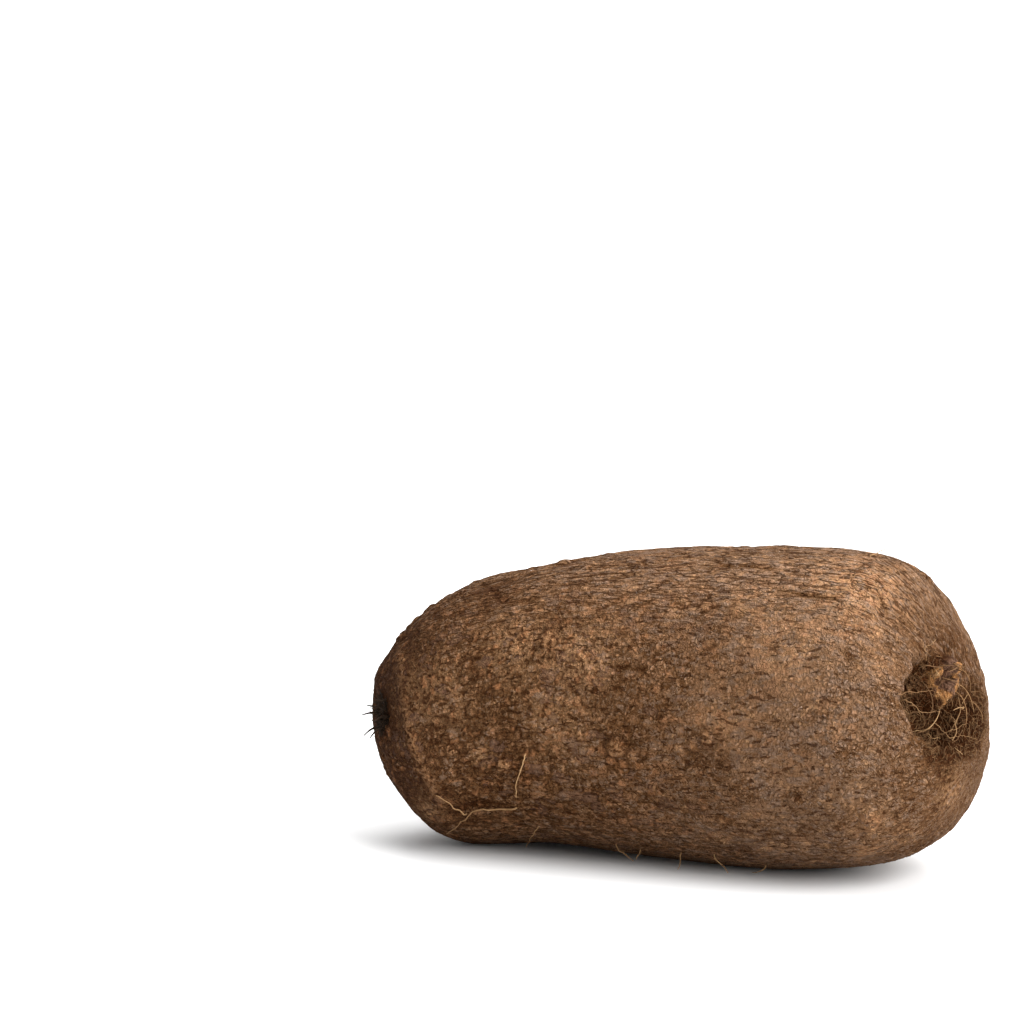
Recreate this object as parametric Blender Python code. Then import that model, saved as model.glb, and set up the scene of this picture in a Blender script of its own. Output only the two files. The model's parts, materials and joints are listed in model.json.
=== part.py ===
"""A whole yam tuber lying on its side, with its crown pit, tail scar, warts and thin roots.

Units are metres and +Z is up. The tuber lies along X, with its tail at -X and its crown at +X.
The origin is on the floor, below the middle of the tuber. One plane cuts the two flats of the
underside that the tuber rests on. The tuber grew as one piece, so its roots and warts are sunk
into its skin and joined to it.
"""

import math
import random
from typing import NamedTuple

import bmesh
import bpy
from mathutils import Vector, noise
from mathutils.bvhtree import BVHTree

TAU = 2.0 * math.pi

# The long axis: where the two ends are, and how much of each end is its rounded cap.
TAIL_X = -0.1205
CROWN_X = 0.1245
TAIL_CAP = 0.044
CROWN_CAP = 0.047
TAIL_ROUNDNESS = 1.9  # exponent of the cap's outline: 2 is an ellipse, more is blunter
CROWN_ROUNDNESS = 2.1
SECTION_ROUNDNESS = 2.12  # the same for the cross-section
CAP_SHARE = 0.30  # the part of a line from tail to crown that runs over each cap

# The mesh: it starts as a ball whose rings lie round the bowl at the crown, close together there.
FACES_AROUND = 60
RINGS = 56
BOWL_RINGS = 15
RING_GROWTH = 1.16
WIDEST_RING = 4.4  # as a multiple of the rings at the bowl
FLAT_SNAP = 0.00005  # points this near the floor's plane are put on it


class Station(NamedTuple):
    """A cross-section of the plain form: its place on X, its half sizes and its centre."""

    x: float
    half_height: float
    half_width: float
    centre_z: float
    centre_y: float


STATIONS = (
    Station(-0.125, 0.0462, 0.0430, 0.0545, -0.019),
    Station(-0.090, 0.0515, 0.0500, 0.0508, -0.010),
    Station(-0.045, 0.0555, 0.0550, 0.0570, -0.003),
    Station(0.000, 0.0597, 0.0585, 0.0588, 0.000),
    Station(0.045, 0.0610, 0.0600, 0.0602, -0.001),
    Station(0.090, 0.0580, 0.0575, 0.0625, -0.005),
    Station(0.125, 0.0530, 0.0530, 0.0560, -0.012),
)


class Swelling(NamedTuple):
    """A wide swelling of the form, or a hollow where the height is negative.

    along runs from 0 at the tail to 1 at the crown, and around is in degrees about X,
    from 0 at +Y through 90 at the top to 180 at the front.
    """

    along: float
    around: float
    spread: float
    height: float


SWELLINGS = (
    Swelling(0.20, 118, 0.030, -0.0004),
    Swelling(0.86, 100, 0.034, -0.0018),
    Swelling(0.44, 95, 0.016, 0.0008),
    Swelling(0.62, 88, 0.020, 0.0009),
    Swelling(0.40, 150, 0.026, 0.0012),
    Swelling(0.52, 205, 0.030, -0.0010),
    Swelling(0.70, 160, 0.030, 0.0010),
    Swelling(0.74, 222, 0.022, 0.0012),
    Swelling(0.34, 330, 0.034, 0.0022),
    Swelling(0.58, 20, 0.040, -0.0020),
    Swelling(0.77, 345, 0.032, 0.0018),
    Swelling(0.50, 60, 0.026, 0.0014),
)

# The corky bark: long low ridges that run from tail to crown.
RIDGE_LENGTH = 0.026
RIDGE_WIDTH = 0.0110
RIDGE_HEIGHT = 0.0011
SHORT_RIDGE_RATIO = 2.3
SHORT_RIDGE_HEIGHT = 0.0006
BARK_MARGIN = 0.006  # height above the floor below which the bark fades into the flats

# The crown: a bowl that is steeper on the tail's side, with the scar of the cut vine in it as a knob.
CROWN_ALONG = 0.912
CROWN_AROUND = 137.0
CROWN_REACH = 0.031  # how far back from the crown's place its relief may reach
PIT_HALF_WIDTH = 0.0235
PIT_HALF_HEIGHT = 0.0212
PIT_DEPTH = 0.0135
STEEP_WALL_FOOT = 0.62  # where the steep wall meets the floor, as a share of the half sizes
GENTLE_WALL_FOOT = 0.15
STEEP_SIDE_DEGREES = 205.0  # the side where the wall is steepest, from sideways towards up
KNOB_SIDEWAYS = 0.0010
KNOB_UP = 0.0062
KNOB_RADIUS = 0.0114
KNOB_HEIGHT = 0.0112
KNOB_DIMPLE = 0.0022
RIM_HEIGHT = 0.0012
FOLD_START = (-0.012, -0.0165)
FOLD_END = (0.001, -0.036)
FOLD_WIDTH = 0.0042
FOLD_DEPTH = 0.0026

# The tail: a small sunken scar with a nipple where the thin root broke off.
TAIL_ALONG = 0.145
TAIL_AROUND = 177.0
TAIL_SCAR_RADIUS = 0.011
TAIL_SCAR_DEPTH = 0.0022
TAIL_RIM_RADIUS = 0.022
TAIL_RIM_WIDTH = 0.0045
TAIL_RIM_HEIGHT = 0.0005

# The low ridge where the side turns into the tail's end: along and around of its points.
TAIL_RIDGE = ((0.164, 127.0), (0.210, 148.0), (0.246, 178.0), (0.274, 198.0), (0.294, 212.0), (0.300, 236.0))
TAIL_RIDGE_WIDTH = 0.0065
TAIL_RIDGE_HEIGHT = 0.0010

# Roots and warts, at true size but fewer than on the real tuber.
ROOT_SINK = 0.0030
CROWN_ROOTS = 34
CROWN_ROOT_RADIUS = 0.00042
CROWN_ROOT_STEPS = 4
BODY_ROOT_RADIUS = 0.00040
TAIL_ROOTS = 6
TAIL_ROOT_RADIUS = 0.00055
TIP_TAPER = 0.55
FLOOR_CLEARANCE = 0.0012
WART_SINK = 0.55  # how deep a wart's middle lies, as a share of its height
WART_LUMPS = 0.35
SCATTERED_WARTS = 13
SHARP_EDGE_ANGLE = math.radians(35.0)
CROWN_SEED = 11
TAIL_SEED = 12
WART_SEED = 13


class Rootlet(NamedTuple):
    """A single root that lies along the skin.

    path is the along and around of its points from foot to tip, and stand is how far its tip
    stands off the skin.
    """

    path: tuple[tuple[float, float], ...]
    stand: float


ROOTLETS = (
    Rootlet(((0.372, 218.0), (0.350, 217.5), (0.331, 217.0), (0.312, 223.0), (0.280, 232.0)), 0.0020),
    Rootlet(((0.318, 220.0), (0.313, 216.0), (0.309, 212.5), (0.297, 206.5)), 0.0026),
    Rootlet(((0.394, 193.0), (0.390, 198.0), (0.384, 203.5), (0.381, 210.0)), 0.0022),
    Rootlet(((0.387, 230.0), (0.378, 234.0), (0.366, 240.0)), 0.0036),
    Rootlet(((0.464, 238.0), (0.473, 239.0), (0.483, 240.0)), 0.0052),
    Rootlet(((0.488, 240.0), (0.486, 241.0), (0.484, 242.0)), 0.0036),
    Rootlet(((0.535, 237.0), (0.535, 238.0), (0.534, 239.0)), 0.0062),
    Rootlet(((0.572, 236.0), (0.579, 238.0), (0.586, 240.0)), 0.0050),
    Rootlet(((0.619, 244.0), (0.611, 245.5), (0.603, 247.0)), 0.0030),
    Rootlet(((0.705, 92.0), (0.711, 88.0), (0.717, 82.0)), 0.0030),
    Rootlet(((0.262, 62.0), (0.244, 58.0), (0.228, 52.0), (0.218, 44.0)), 0.0030),
    Rootlet(((0.455, 40.0), (0.478, 38.0), (0.500, 41.0), (0.518, 47.0)), 0.0028),
    Rootlet(((0.640, 15.0), (0.632, 6.0), (0.620, 359.0), (0.612, 352.0)), 0.0035),
    Rootlet(((0.560, 345.0), (0.540, 342.0), (0.524, 336.0)), 0.0056),
    Rootlet(((0.350, 322.0), (0.358, 331.0), (0.368, 339.0), (0.384, 345.0)), 0.0040),
    Rootlet(((0.800, 330.0), (0.820, 324.0), (0.834, 315.0)), 0.0034),
)


class Wart(NamedTuple):
    """A round wart of the bark."""

    along: float
    around: float
    radius: float
    height: float


WARTS = (
    Wart(0.492, 188.0, 0.0042, 0.0017),
    Wart(0.370, 197.0, 0.0038, 0.0014),
    Wart(0.590, 182.0, 0.0034, 0.0013),
    Wart(0.412, 148.0, 0.0044, 0.0014),
    Wart(0.374, 142.0, 0.0026, 0.0012),
    Wart(0.448, 154.0, 0.0032, 0.0013),
    Wart(0.604, 135.0, 0.0032, 0.0011),
    Wart(0.570, 134.0, 0.0026, 0.0010),
    Wart(0.774, 216.0, 0.0046, 0.0012),
)


def clear_scene():
    """Removes whatever the file holds."""
    for item in list(bpy.data.objects):
        bpy.data.objects.remove(item)


def smooth(low, high, value):
    """Runs from 0 at low to 1 at high with a soft start and end."""
    share = min(1.0, max(0.0, (value - low) / (high - low)))
    return share * share * (3.0 - 2.0 * share)


def station_at(x):
    """The cross-section at x, on a smooth curve through the stations."""
    x = min(STATIONS[-1].x, max(STATIONS[0].x, x))
    left = max(i for i in range(len(STATIONS) - 1) if STATIONS[i].x <= x)
    start, end = STATIONS[left], STATIONS[left + 1]
    before, after = STATIONS[max(0, left - 1)], STATIONS[min(len(STATIONS) - 1, left + 2)]
    gap = end.x - start.x
    t = (x - start.x) / gap
    values = [x]
    for field in range(1, len(start)):
        slope_in = (end[field] - before[field]) / (end.x - before.x) * gap
        slope_out = (after[field] - start[field]) / (after.x - start.x) * gap
        values.append(
            (2 * t**3 - 3 * t**2 + 1) * start[field]
            + (t**3 - 2 * t**2 + t) * slope_in
            + (3 * t**2 - 2 * t**3) * end[field]
            + (t**3 - t**2) * slope_out
        )
    return Station(*values)


def outline_at(along):
    """Where a share of the way from tail to crown is on X, and how open the caps are there."""
    tail_turn = min(1.0, along / CAP_SHARE) * math.pi / 2
    crown_turn = min(1.0, (1.0 - along) / CAP_SHARE) * math.pi / 2
    middle = min(1.0, max(0.0, (along - CAP_SHARE) / (1.0 - 2.0 * CAP_SHARE)))
    x = (
        TAIL_X
        + TAIL_CAP * (1.0 - max(0.0, math.cos(tail_turn)) ** (2.0 / TAIL_ROUNDNESS))
        + (CROWN_X - TAIL_X - TAIL_CAP - CROWN_CAP) * middle
        + CROWN_CAP * max(0.0, math.cos(crown_turn)) ** (2.0 / CROWN_ROUNDNESS)
    )
    opening = math.sin(tail_turn) ** (2.0 / TAIL_ROUNDNESS) * math.sin(crown_turn) ** (2.0 / CROWN_ROUNDNESS)
    return x, opening


def plain_point(along, around):
    """A point of the plain form, before swellings, bark and scars. around is in radians."""
    x, opening = outline_at(along)
    section = station_at(x)
    across, up = math.cos(around), math.sin(around)
    power = SECTION_ROUNDNESS
    round_off = (abs(across) ** power + abs(up) ** power) ** (-1.0 / power)
    return Vector(
        (
            x,
            section.centre_y + section.half_width * opening * round_off * across,
            section.centre_z + section.half_height * opening * round_off * up,
        )
    )


def plain_normal(along, around):
    """The plain form's outward direction at a point."""
    step = 0.004
    if along < step:
        return Vector((-1.0, 0.0, 0.0))
    if along > 1.0 - step:
        return Vector((1.0, 0.0, 0.0))
    lengthwise = plain_point(along + step, around) - plain_point(along - step, around)
    round_girth = plain_point(along, around + step) - plain_point(along, around - step)
    return round_girth.cross(lengthwise).normalized()


class Place(NamedTuple):
    """A spot on the plain form with axes of its own: out of the skin, sideways and up."""

    centre: Vector
    out: Vector
    sideways: Vector
    up: Vector

    def local(self, point):
        """How far a point lies sideways, up and out from this place."""
        offset = point - self.centre
        return offset.dot(self.sideways), offset.dot(self.up), offset.dot(self.out)

    def world(self, sideways, up, out):
        """The point that lies so far sideways, up and out from this place."""
        return self.centre + self.sideways * sideways + self.up * up + self.out * out


def place_at(along, around_degrees):
    """The place at a share of the way from tail to crown and an angle about X."""
    around = math.radians(around_degrees)
    out = plain_normal(along, around)
    sideways = Vector((0.0, 0.0, 1.0)).cross(out).normalized()
    return Place(plain_point(along, around), out, sideways, out.cross(sideways))


CROWN = place_at(CROWN_ALONG, CROWN_AROUND)
TAIL = place_at(TAIL_ALONG, TAIL_AROUND)
TAIL_RIDGE_LINE = tuple(place_at(*spot).centre for spot in TAIL_RIDGE)
SWELLING_CENTRES = tuple(place_at(s.along, s.around).centre for s in SWELLINGS)


def pit_relief(sideways, up):
    """How far the bowl's surface lies below the plain skin: steep on one side, gentle on the other."""
    reach = math.hypot(sideways / PIT_HALF_WIDTH, up / PIT_HALF_HEIGHT)
    facing = math.cos(math.atan2(up, sideways) - math.radians(STEEP_SIDE_DEGREES))
    steepness = smooth(-1.0, 1.0, facing)
    foot = GENTLE_WALL_FOOT + (STEEP_WALL_FOOT - GENTLE_WALL_FOOT) * steepness
    rim = RIM_HEIGHT * smooth(0.85, 1.1, reach) * (1.0 - smooth(1.1, 1.7, reach))
    return rim - PIT_DEPTH * (1.0 - smooth(foot, 1.0, reach))


def fold_relief(sideways, up):
    """How far the fold that runs out of the bowl lies below the plain skin."""
    run = (FOLD_END[0] - FOLD_START[0], FOLD_END[1] - FOLD_START[1])
    length = math.hypot(*run)
    offset = (sideways - FOLD_START[0], up - FOLD_START[1])
    share = (offset[0] * run[0] + offset[1] * run[1]) / length**2
    if not 0.0 < share < 1.0:
        return 0.0
    aside = (offset[0] * run[1] - offset[1] * run[0]) / length
    return -FOLD_DEPTH * math.sin(math.pi * share) * math.exp(-((aside / FOLD_WIDTH) ** 2))


def crown_relief(point):
    """How far the skin stands out along the crown's axis: the rim, the bowl, the knob and the fold."""
    sideways, up, out = CROWN.local(point)
    if out < -CROWN_REACH:
        return 0.0
    from_knob = math.hypot(sideways - KNOB_SIDEWAYS, up - KNOB_UP) / KNOB_RADIUS
    knob = KNOB_HEIGHT * (1.0 - smooth(0.5, 1.2, from_knob))
    dimple = -KNOB_DIMPLE * (1.0 - smooth(0.0, 0.55, from_knob))
    return pit_relief(sideways, up) + fold_relief(sideways, up) + knob + dimple


def tail_relief(point):
    """How far the skin stands out at the tail: the sunken scar and the low rim round the end."""
    reach = (point - TAIL.centre).length
    scar = -TAIL_SCAR_DEPTH * math.exp(-((reach / TAIL_SCAR_RADIUS) ** 2))
    rim = TAIL_RIM_HEIGHT * math.exp(-(((reach - TAIL_RIM_RADIUS) / TAIL_RIM_WIDTH) ** 2))
    return scar + rim


def ridge_relief(point):
    """How far the ridge at the tail's end stands out. It fades towards both of its ends."""
    nearest, share = TAIL_RIDGE_WIDTH * 3.0, 0.0
    for number, (start, end) in enumerate(zip(TAIL_RIDGE_LINE, TAIL_RIDGE_LINE[1:])):
        run = end - start
        part = min(1.0, max(0.0, (point - start).dot(run) / run.length_squared))
        distance = (point - start - run * part).length
        if distance < nearest:
            nearest, share = distance, (number + part) / (len(TAIL_RIDGE_LINE) - 1)
    return TAIL_RIDGE_HEIGHT * math.sin(math.pi * share) * math.exp(-((nearest / TAIL_RIDGE_WIDTH) ** 2))


def bark_relief(point):
    """Height of the bark: long ridges, with shorter and lower ones on them."""
    stretched = Vector((point.x / RIDGE_LENGTH, point.y / RIDGE_WIDTH, point.z / RIDGE_WIDTH))
    ridges = noise.noise(stretched)
    short_ridges = noise.noise(stretched * SHORT_RIDGE_RATIO)
    return RIDGE_HEIGHT * ridges + SHORT_RIDGE_HEIGHT * short_ridges


def skin_point(along, around):
    """A point of the finished skin."""
    plain = plain_point(along, around)
    normal = plain_normal(along, around)
    height = sum(
        s.height * math.exp(-(((plain - centre).length / s.spread) ** 2))
        for s, centre in zip(SWELLINGS, SWELLING_CENTRES)
    )
    height += tail_relief(plain) + ridge_relief(plain)
    height += bark_relief(plain) * smooth(0.0, BARK_MARGIN, plain.z)
    return plain + normal * height + CROWN.out * crown_relief(plain)


def ring_angles():
    """The angle of each ring of the starting ball from the middle of the bowl."""
    steps = [min(RING_GROWTH ** max(0, ring - BOWL_RINGS), WIDEST_RING) for ring in range(RINGS)]
    return [math.pi * sum(steps[:ring]) / sum(steps) for ring in range(RINGS + 1)]


def ball_direction(along, around):
    """The direction on the starting ball that stands for a place on the form."""
    level, height = math.sin(math.pi * along), -math.cos(math.pi * along)
    return Vector((level * math.cos(around), level * math.sin(around), height))


def ball_place(direction):
    """The place on the form, as along and around, that a direction on the starting ball stands for."""
    along = math.acos(max(-1.0, min(1.0, -direction.z))) / math.pi
    return along, math.atan2(direction.y, direction.x)


def make_skin():
    """The tuber's body: a ball whose points are moved onto the skin, with its flats cut."""
    bm = bmesh.new()
    bmesh.ops.create_uvsphere(bm, u_segments=FACES_AROUND, v_segments=RINGS, radius=1.0)
    angles = ring_angles()
    pole = Vector((0.0, 0.0, 1.0))
    turn = pole.rotation_difference(ball_direction(CROWN_ALONG, math.radians(CROWN_AROUND)))
    for vertex in bm.verts:
        ring = round(vertex.co.angle(pole) * RINGS / math.pi)
        round_bowl = math.atan2(vertex.co.y, vertex.co.x)
        level, height = math.sin(angles[ring]), math.cos(angles[ring])
        direction = Vector((level * math.cos(round_bowl), level * math.sin(round_bowl), height))
        vertex.co = skin_point(*ball_place(turn @ direction))
        if abs(vertex.co.z) < FLAT_SNAP:
            vertex.co.z = 0.0

    everything = bm.verts[:] + bm.edges[:] + bm.faces[:]
    cut = bmesh.ops.bisect_plane(
        bm, geom=everything, dist=FLAT_SNAP / 2, plane_co=(0, 0, 0), plane_no=(0, 0, 1), clear_inner=True
    )
    cut_edges = [item for item in cut["geom_cut"] if isinstance(item, bmesh.types.BMEdge)]
    bmesh.ops.holes_fill(bm, edges=cut_edges, sides=0)
    bmesh.ops.recalc_face_normals(bm, faces=bm.faces)
    bmesh.ops.triangulate(bm, faces=bm.faces)
    mesh = bpy.data.meshes.new("yam")
    bm.to_mesh(mesh)
    bm.free()
    mesh.shade_smooth()
    return bpy.data.objects.new("yam", mesh)


def root_tube(name, points, radius, collection):
    """One root: a four-sided tube through the points, thinner at its tip, made a closed mesh."""
    curve = bpy.data.curves.new(name, "CURVE")
    curve.dimensions = "3D"
    curve.bevel_depth = radius
    curve.bevel_resolution = 0
    curve.use_fill_caps = True
    spline = curve.splines.new("POLY")
    spline.points.add(len(points) - 1)
    for index, point in enumerate(points):
        spline.points[index].co = (*point, 1.0)
        spline.points[index].radius = 1.0 - TIP_TAPER * index / (len(points) - 1)
    guide = bpy.data.objects.new(name + "_line", curve)
    collection.objects.link(guide)
    bpy.context.view_layer.update()
    evaluated = guide.evaluated_get(bpy.context.evaluated_depsgraph_get())
    mesh = bpy.data.meshes.new_from_object(evaluated)
    bm = bmesh.new()
    bm.from_mesh(mesh)
    bmesh.ops.remove_doubles(bm, verts=bm.verts, dist=0.00002)
    bmesh.ops.recalc_face_normals(bm, faces=bm.faces)
    bm.to_mesh(mesh)
    bm.free()
    tube = bpy.data.objects.new(name, mesh)
    tube.matrix_world = guide.matrix_world
    collection.objects.link(tube)
    bpy.data.objects.remove(guide)
    return tube


def make_crown_roots(skin, collection):
    """The tuft in the crown's bowl: wiry roots that rise off its floor and bend over."""
    draw = random.Random(CROWN_SEED)
    for number in range(CROWN_ROOTS):
        turn = TAU * (number * 0.618 % 1.0)
        reach = draw.uniform(0.62, 1.0)
        foot_sideways = PIT_HALF_WIDTH * 0.72 * reach * math.cos(turn)
        foot_up = PIT_HALF_HEIGHT * 0.72 * reach * math.sin(turn)
        foot, normal, _, _ = skin.ray_cast(CROWN.world(foot_sideways, foot_up, 0.04), -CROWN.out)
        lean = turn + draw.uniform(1.2, 2.8) * draw.choice((-1.0, 1.0))
        drift = (CROWN.sideways * math.cos(lean) + CROWN.up * math.sin(lean)) * draw.uniform(0.008, 0.015)
        rise = draw.uniform(0.0030, 0.0065)
        points = [foot - normal * ROOT_SINK]
        for step in range(1, CROWN_ROOT_STEPS + 1):
            share = step / CROWN_ROOT_STEPS
            wander = Vector([draw.uniform(-1.0, 1.0) for _ in range(3)]) * 0.0007
            lift = CROWN.out * rise * math.sin(share * math.pi * 0.7)
            points.append(foot + lift + drift * share**1.4 + wander * share)
        root_tube(f"crown_root_{number}", points, CROWN_ROOT_RADIUS * draw.uniform(0.85, 1.15), collection)


def make_body_roots(collection):
    """The single roots on the skin. Each leaves the skin and then follows it at a small height."""
    low = BODY_ROOT_RADIUS * 1.6
    for number, root in enumerate(ROOTLETS):
        points = []
        for index, (along, around_degrees) in enumerate(root.path):
            around = math.radians(around_degrees)
            normal = plain_normal(along, around)
            share = index / (len(root.path) - 1)
            point = skin_point(along, around) + normal * (low + (root.stand - low) * share)
            point.z = max(point.z, FLOOR_CLEARANCE)
            if not points:
                points.append(point - normal * (ROOT_SINK + low))
            points.append(point)
        root_tube(f"rootlet_{number}", points, BODY_ROOT_RADIUS, collection)


def make_tail_roots(skin, collection):
    """The short stiff stubs round the tail's scar."""
    draw = random.Random(TAIL_SEED)
    for number in range(TAIL_ROOTS):
        turn = TAU * number / TAIL_ROOTS
        spread = draw.uniform(0.25, 0.75) * TAIL_SCAR_RADIUS
        above = TAIL.world(spread * math.cos(turn), spread * math.sin(turn), 0.02)
        foot, normal, _, _ = skin.ray_cast(above, -TAIL.out)
        splay = (TAIL.sideways * math.cos(turn) + TAIL.up * math.sin(turn)) * 0.4
        length = draw.uniform(0.0045, 0.0075)
        points = [foot - normal * ROOT_SINK]
        for share in (0.35, 0.7, 1.0):
            sag = Vector((0.0, 0.0, -0.2 * share * share))
            points.append(foot + (TAIL.out + splay * share + sag) * length * share)
        root_tube(f"tail_root_{number}", points, TAIL_ROOT_RADIUS, collection)


def make_warts(collection):
    """The warts of the bark: flattened balls, half sunk in the skin."""
    draw = random.Random(WART_SEED)
    scattered = [
        Wart(
            0.18 + 0.66 * (number * 0.7549 % 1.0),
            360.0 * (number * 0.5698 % 1.0),
            draw.uniform(0.0020, 0.0036),
            draw.uniform(0.0008, 0.0014),
        )
        for number in range(SCATTERED_WARTS)
    ]
    for number, wart in enumerate((*WARTS, *scattered)):
        around = math.radians(wart.around)
        centre = skin_point(wart.along, around)
        clear_of_crown = (centre - CROWN.centre).length > PIT_HALF_HEIGHT * 1.4
        if centre.z < BARK_MARGIN * 2.0 or not clear_of_crown:
            continue
        normal = plain_normal(wart.along, around)
        bm = bmesh.new()
        bmesh.ops.create_icosphere(bm, subdivisions=2, radius=1.0)
        for vertex in bm.verts:
            vertex.co *= 1.0 + WART_LUMPS * noise.noise(vertex.co * 1.3 + Vector((number, 0.0, 0.0)))
        bmesh.ops.scale(bm, verts=bm.verts, vec=(wart.radius, wart.radius, wart.height * (1.0 + WART_SINK)))
        turn = normal.to_track_quat("Z", "Y").to_matrix()
        bmesh.ops.rotate(bm, verts=bm.verts, matrix=turn)
        bmesh.ops.translate(bm, verts=bm.verts, vec=centre - normal * wart.height * WART_SINK)
        mesh = bpy.data.meshes.new(f"wart_{number}")
        bm.to_mesh(mesh)
        bm.free()
        collection.objects.link(bpy.data.objects.new(f"wart_{number}", mesh))


def join_growths(tuber, growths):
    """Fuses the roots and warts to the tuber with one union, and removes what it used."""
    union = tuber.modifiers.new("growths", "BOOLEAN")
    union.operation = "UNION"
    union.solver = "EXACT"
    union.operand_type = "COLLECTION"
    union.collection = growths
    bpy.context.view_layer.update()
    evaluated = tuber.evaluated_get(bpy.context.evaluated_depsgraph_get())
    joined = bpy.data.meshes.new_from_object(evaluated)
    joined.set_sharp_from_angle(angle=SHARP_EDGE_ANGLE)
    tuber.modifiers.clear()
    tuber.data = joined
    for item in list(growths.objects):
        bpy.data.objects.remove(item)
    bpy.data.collections.remove(growths)


def bark_material():
    """The tuber's dry brown bark."""
    material = bpy.data.materials.new("bark")
    material.use_nodes = True
    shader = material.node_tree.nodes["Principled BSDF"]
    shader.inputs["Base Color"].default_value = (0.155, 0.083, 0.043, 1.0)
    shader.inputs["Roughness"].default_value = 0.85
    shader.inputs["Metallic"].default_value = 0.0
    return material


def main():
    """Builds the tuber in a collection of its own."""
    clear_scene()
    collection = bpy.data.collections.new("yam")
    bpy.context.scene.collection.children.link(collection)
    growths = bpy.data.collections.new("growths")
    bpy.context.scene.collection.children.link(growths)

    tuber = make_skin()
    collection.objects.link(tuber)
    bpy.context.view_layer.update()
    skin = BVHTree.FromObject(tuber, bpy.context.evaluated_depsgraph_get())

    make_crown_roots(skin, growths)
    make_body_roots(growths)
    make_tail_roots(skin, growths)
    make_warts(growths)
    join_growths(tuber, growths)
    tuber.data.materials.clear()
    tuber.data.materials.append(bark_material())


main()
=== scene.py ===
"""Dresses the yam: fine bark, warts, crown roots, tail stubs and single roots, on a pale floor.

The tuber lies along X with its tail at -X and its crown at +X, in metres, with +Z up. Its skin is
the same form as the solid it replaces, from the same sizes, with finer relief on it.
"""

import json
import logging
import math
import random
from dataclasses import dataclass, field
from enum import Enum
from typing import Any, NamedTuple, Sequence

import bmesh
import bpy
from mathutils import Matrix, Quaternion, Vector, noise
from mathutils.bvhtree import BVHTree
from mathutils.kdtree import KDTree

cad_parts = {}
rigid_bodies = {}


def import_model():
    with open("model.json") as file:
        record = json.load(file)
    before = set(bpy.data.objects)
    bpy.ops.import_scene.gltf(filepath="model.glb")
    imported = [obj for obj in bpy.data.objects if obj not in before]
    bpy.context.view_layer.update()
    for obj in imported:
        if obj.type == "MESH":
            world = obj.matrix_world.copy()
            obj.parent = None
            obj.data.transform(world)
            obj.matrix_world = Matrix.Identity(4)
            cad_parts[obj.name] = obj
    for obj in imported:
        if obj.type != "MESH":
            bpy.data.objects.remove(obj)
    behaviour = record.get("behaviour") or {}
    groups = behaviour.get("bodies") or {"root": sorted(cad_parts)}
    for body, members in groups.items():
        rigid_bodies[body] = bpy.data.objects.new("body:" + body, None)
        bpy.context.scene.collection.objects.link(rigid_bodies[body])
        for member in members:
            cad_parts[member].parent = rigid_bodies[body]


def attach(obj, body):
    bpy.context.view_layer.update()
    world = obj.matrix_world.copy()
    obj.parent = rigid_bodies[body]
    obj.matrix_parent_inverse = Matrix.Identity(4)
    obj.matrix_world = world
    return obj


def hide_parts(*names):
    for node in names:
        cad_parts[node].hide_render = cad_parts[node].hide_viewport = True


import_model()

LOG = logging.getLogger("yam")
TAU = 2.0 * math.pi
UP = Vector((0.0, 0.0, 1.0))
NOISE_SEED = 7


def smooth(low: float, high: float, value: float) -> float:
    """Runs from 0 at low to 1 at high with a soft start and end.

    Args:
        low: where the step starts.
        high: where it ends.
        value: where it is read.

    Returns:
        The share, from 0 to 1.
    """
    share = min(1.0, max(0.0, (value - low) / (high - low)))
    return share * share * (3.0 - 2.0 * share)


def bell(distance: float, spread: float) -> float:
    """A soft hump: 1 at no distance, and next to nothing at twice the spread."""
    return math.exp(-((distance / spread) ** 2))


class Station(NamedTuple):
    """A cross-section of the plain form: its place on X, its half sizes and its centre."""

    x: float
    half_height: float
    half_width: float
    centre_z: float
    centre_y: float


class Swelling(NamedTuple):
    """A wide swelling, or a hollow where the height is negative."""

    along: float
    around: float
    spread: float
    height: float


class Wart(NamedTuple):
    """A round wart of the bark."""

    along: float
    around: float
    radius: float
    height: float


class Rootlet(NamedTuple):
    """A single root that lies along the skin: its points from foot to tip, and its tip's height."""

    path: tuple[tuple[float, float], ...]
    stand: float
    thickness: float = 1.0


class Tint(Enum):
    """The tints that patches of the bark have: rubbed, or dark with stain, which at the tail end is painted
    shade as well.
    """

    RUBBED = "rubbed"
    DARK = "dark"


class Crack(NamedTuple):
    """A long crack in the bark: its points and its width."""

    path: tuple[tuple[float, float], ...]
    width: float


class Lump(NamedTuple):
    """A lump of bare wood on the crown's knob, by its place in the crown."""

    sideways: float
    up: float
    spread: float
    bareness: float


class Patch(NamedTuple):
    """A rubbed or dark patch of bark; dark ones at the tail end are painted shade as well as stain."""

    tint: Tint
    along: float
    around: float
    spread: float
    strength: float


STATIONS = (
    Station(-0.125, 0.0462, 0.0430, 0.0545, -0.019),
    Station(-0.090, 0.0515, 0.0500, 0.0508, -0.010),
    Station(-0.045, 0.0555, 0.0550, 0.0570, -0.003),
    Station(0.000, 0.0597, 0.0585, 0.0588, 0.000),
    Station(0.045, 0.0610, 0.0600, 0.0602, -0.001),
    Station(0.090, 0.0580, 0.0575, 0.0625, -0.005),
    Station(0.125, 0.0530, 0.0530, 0.0560, -0.012),
)

SWELLINGS = (
    Swelling(0.20, 118, 0.030, -0.0004),
    Swelling(0.86, 100, 0.034, -0.0018),
    Swelling(0.44, 95, 0.016, 0.0008),
    Swelling(0.62, 88, 0.020, 0.0009),
    Swelling(0.40, 150, 0.026, 0.0012),
    Swelling(0.52, 205, 0.030, -0.0010),
    Swelling(0.70, 160, 0.030, 0.0010),
    Swelling(0.74, 222, 0.022, 0.0012),
    Swelling(0.34, 330, 0.034, 0.0022),
    Swelling(0.58, 20, 0.040, -0.0020),
    Swelling(0.77, 345, 0.032, 0.0018),
    Swelling(0.50, 60, 0.026, 0.0014),
    Swelling(0.156, 119, 0.0090, -0.0009),
)

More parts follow.
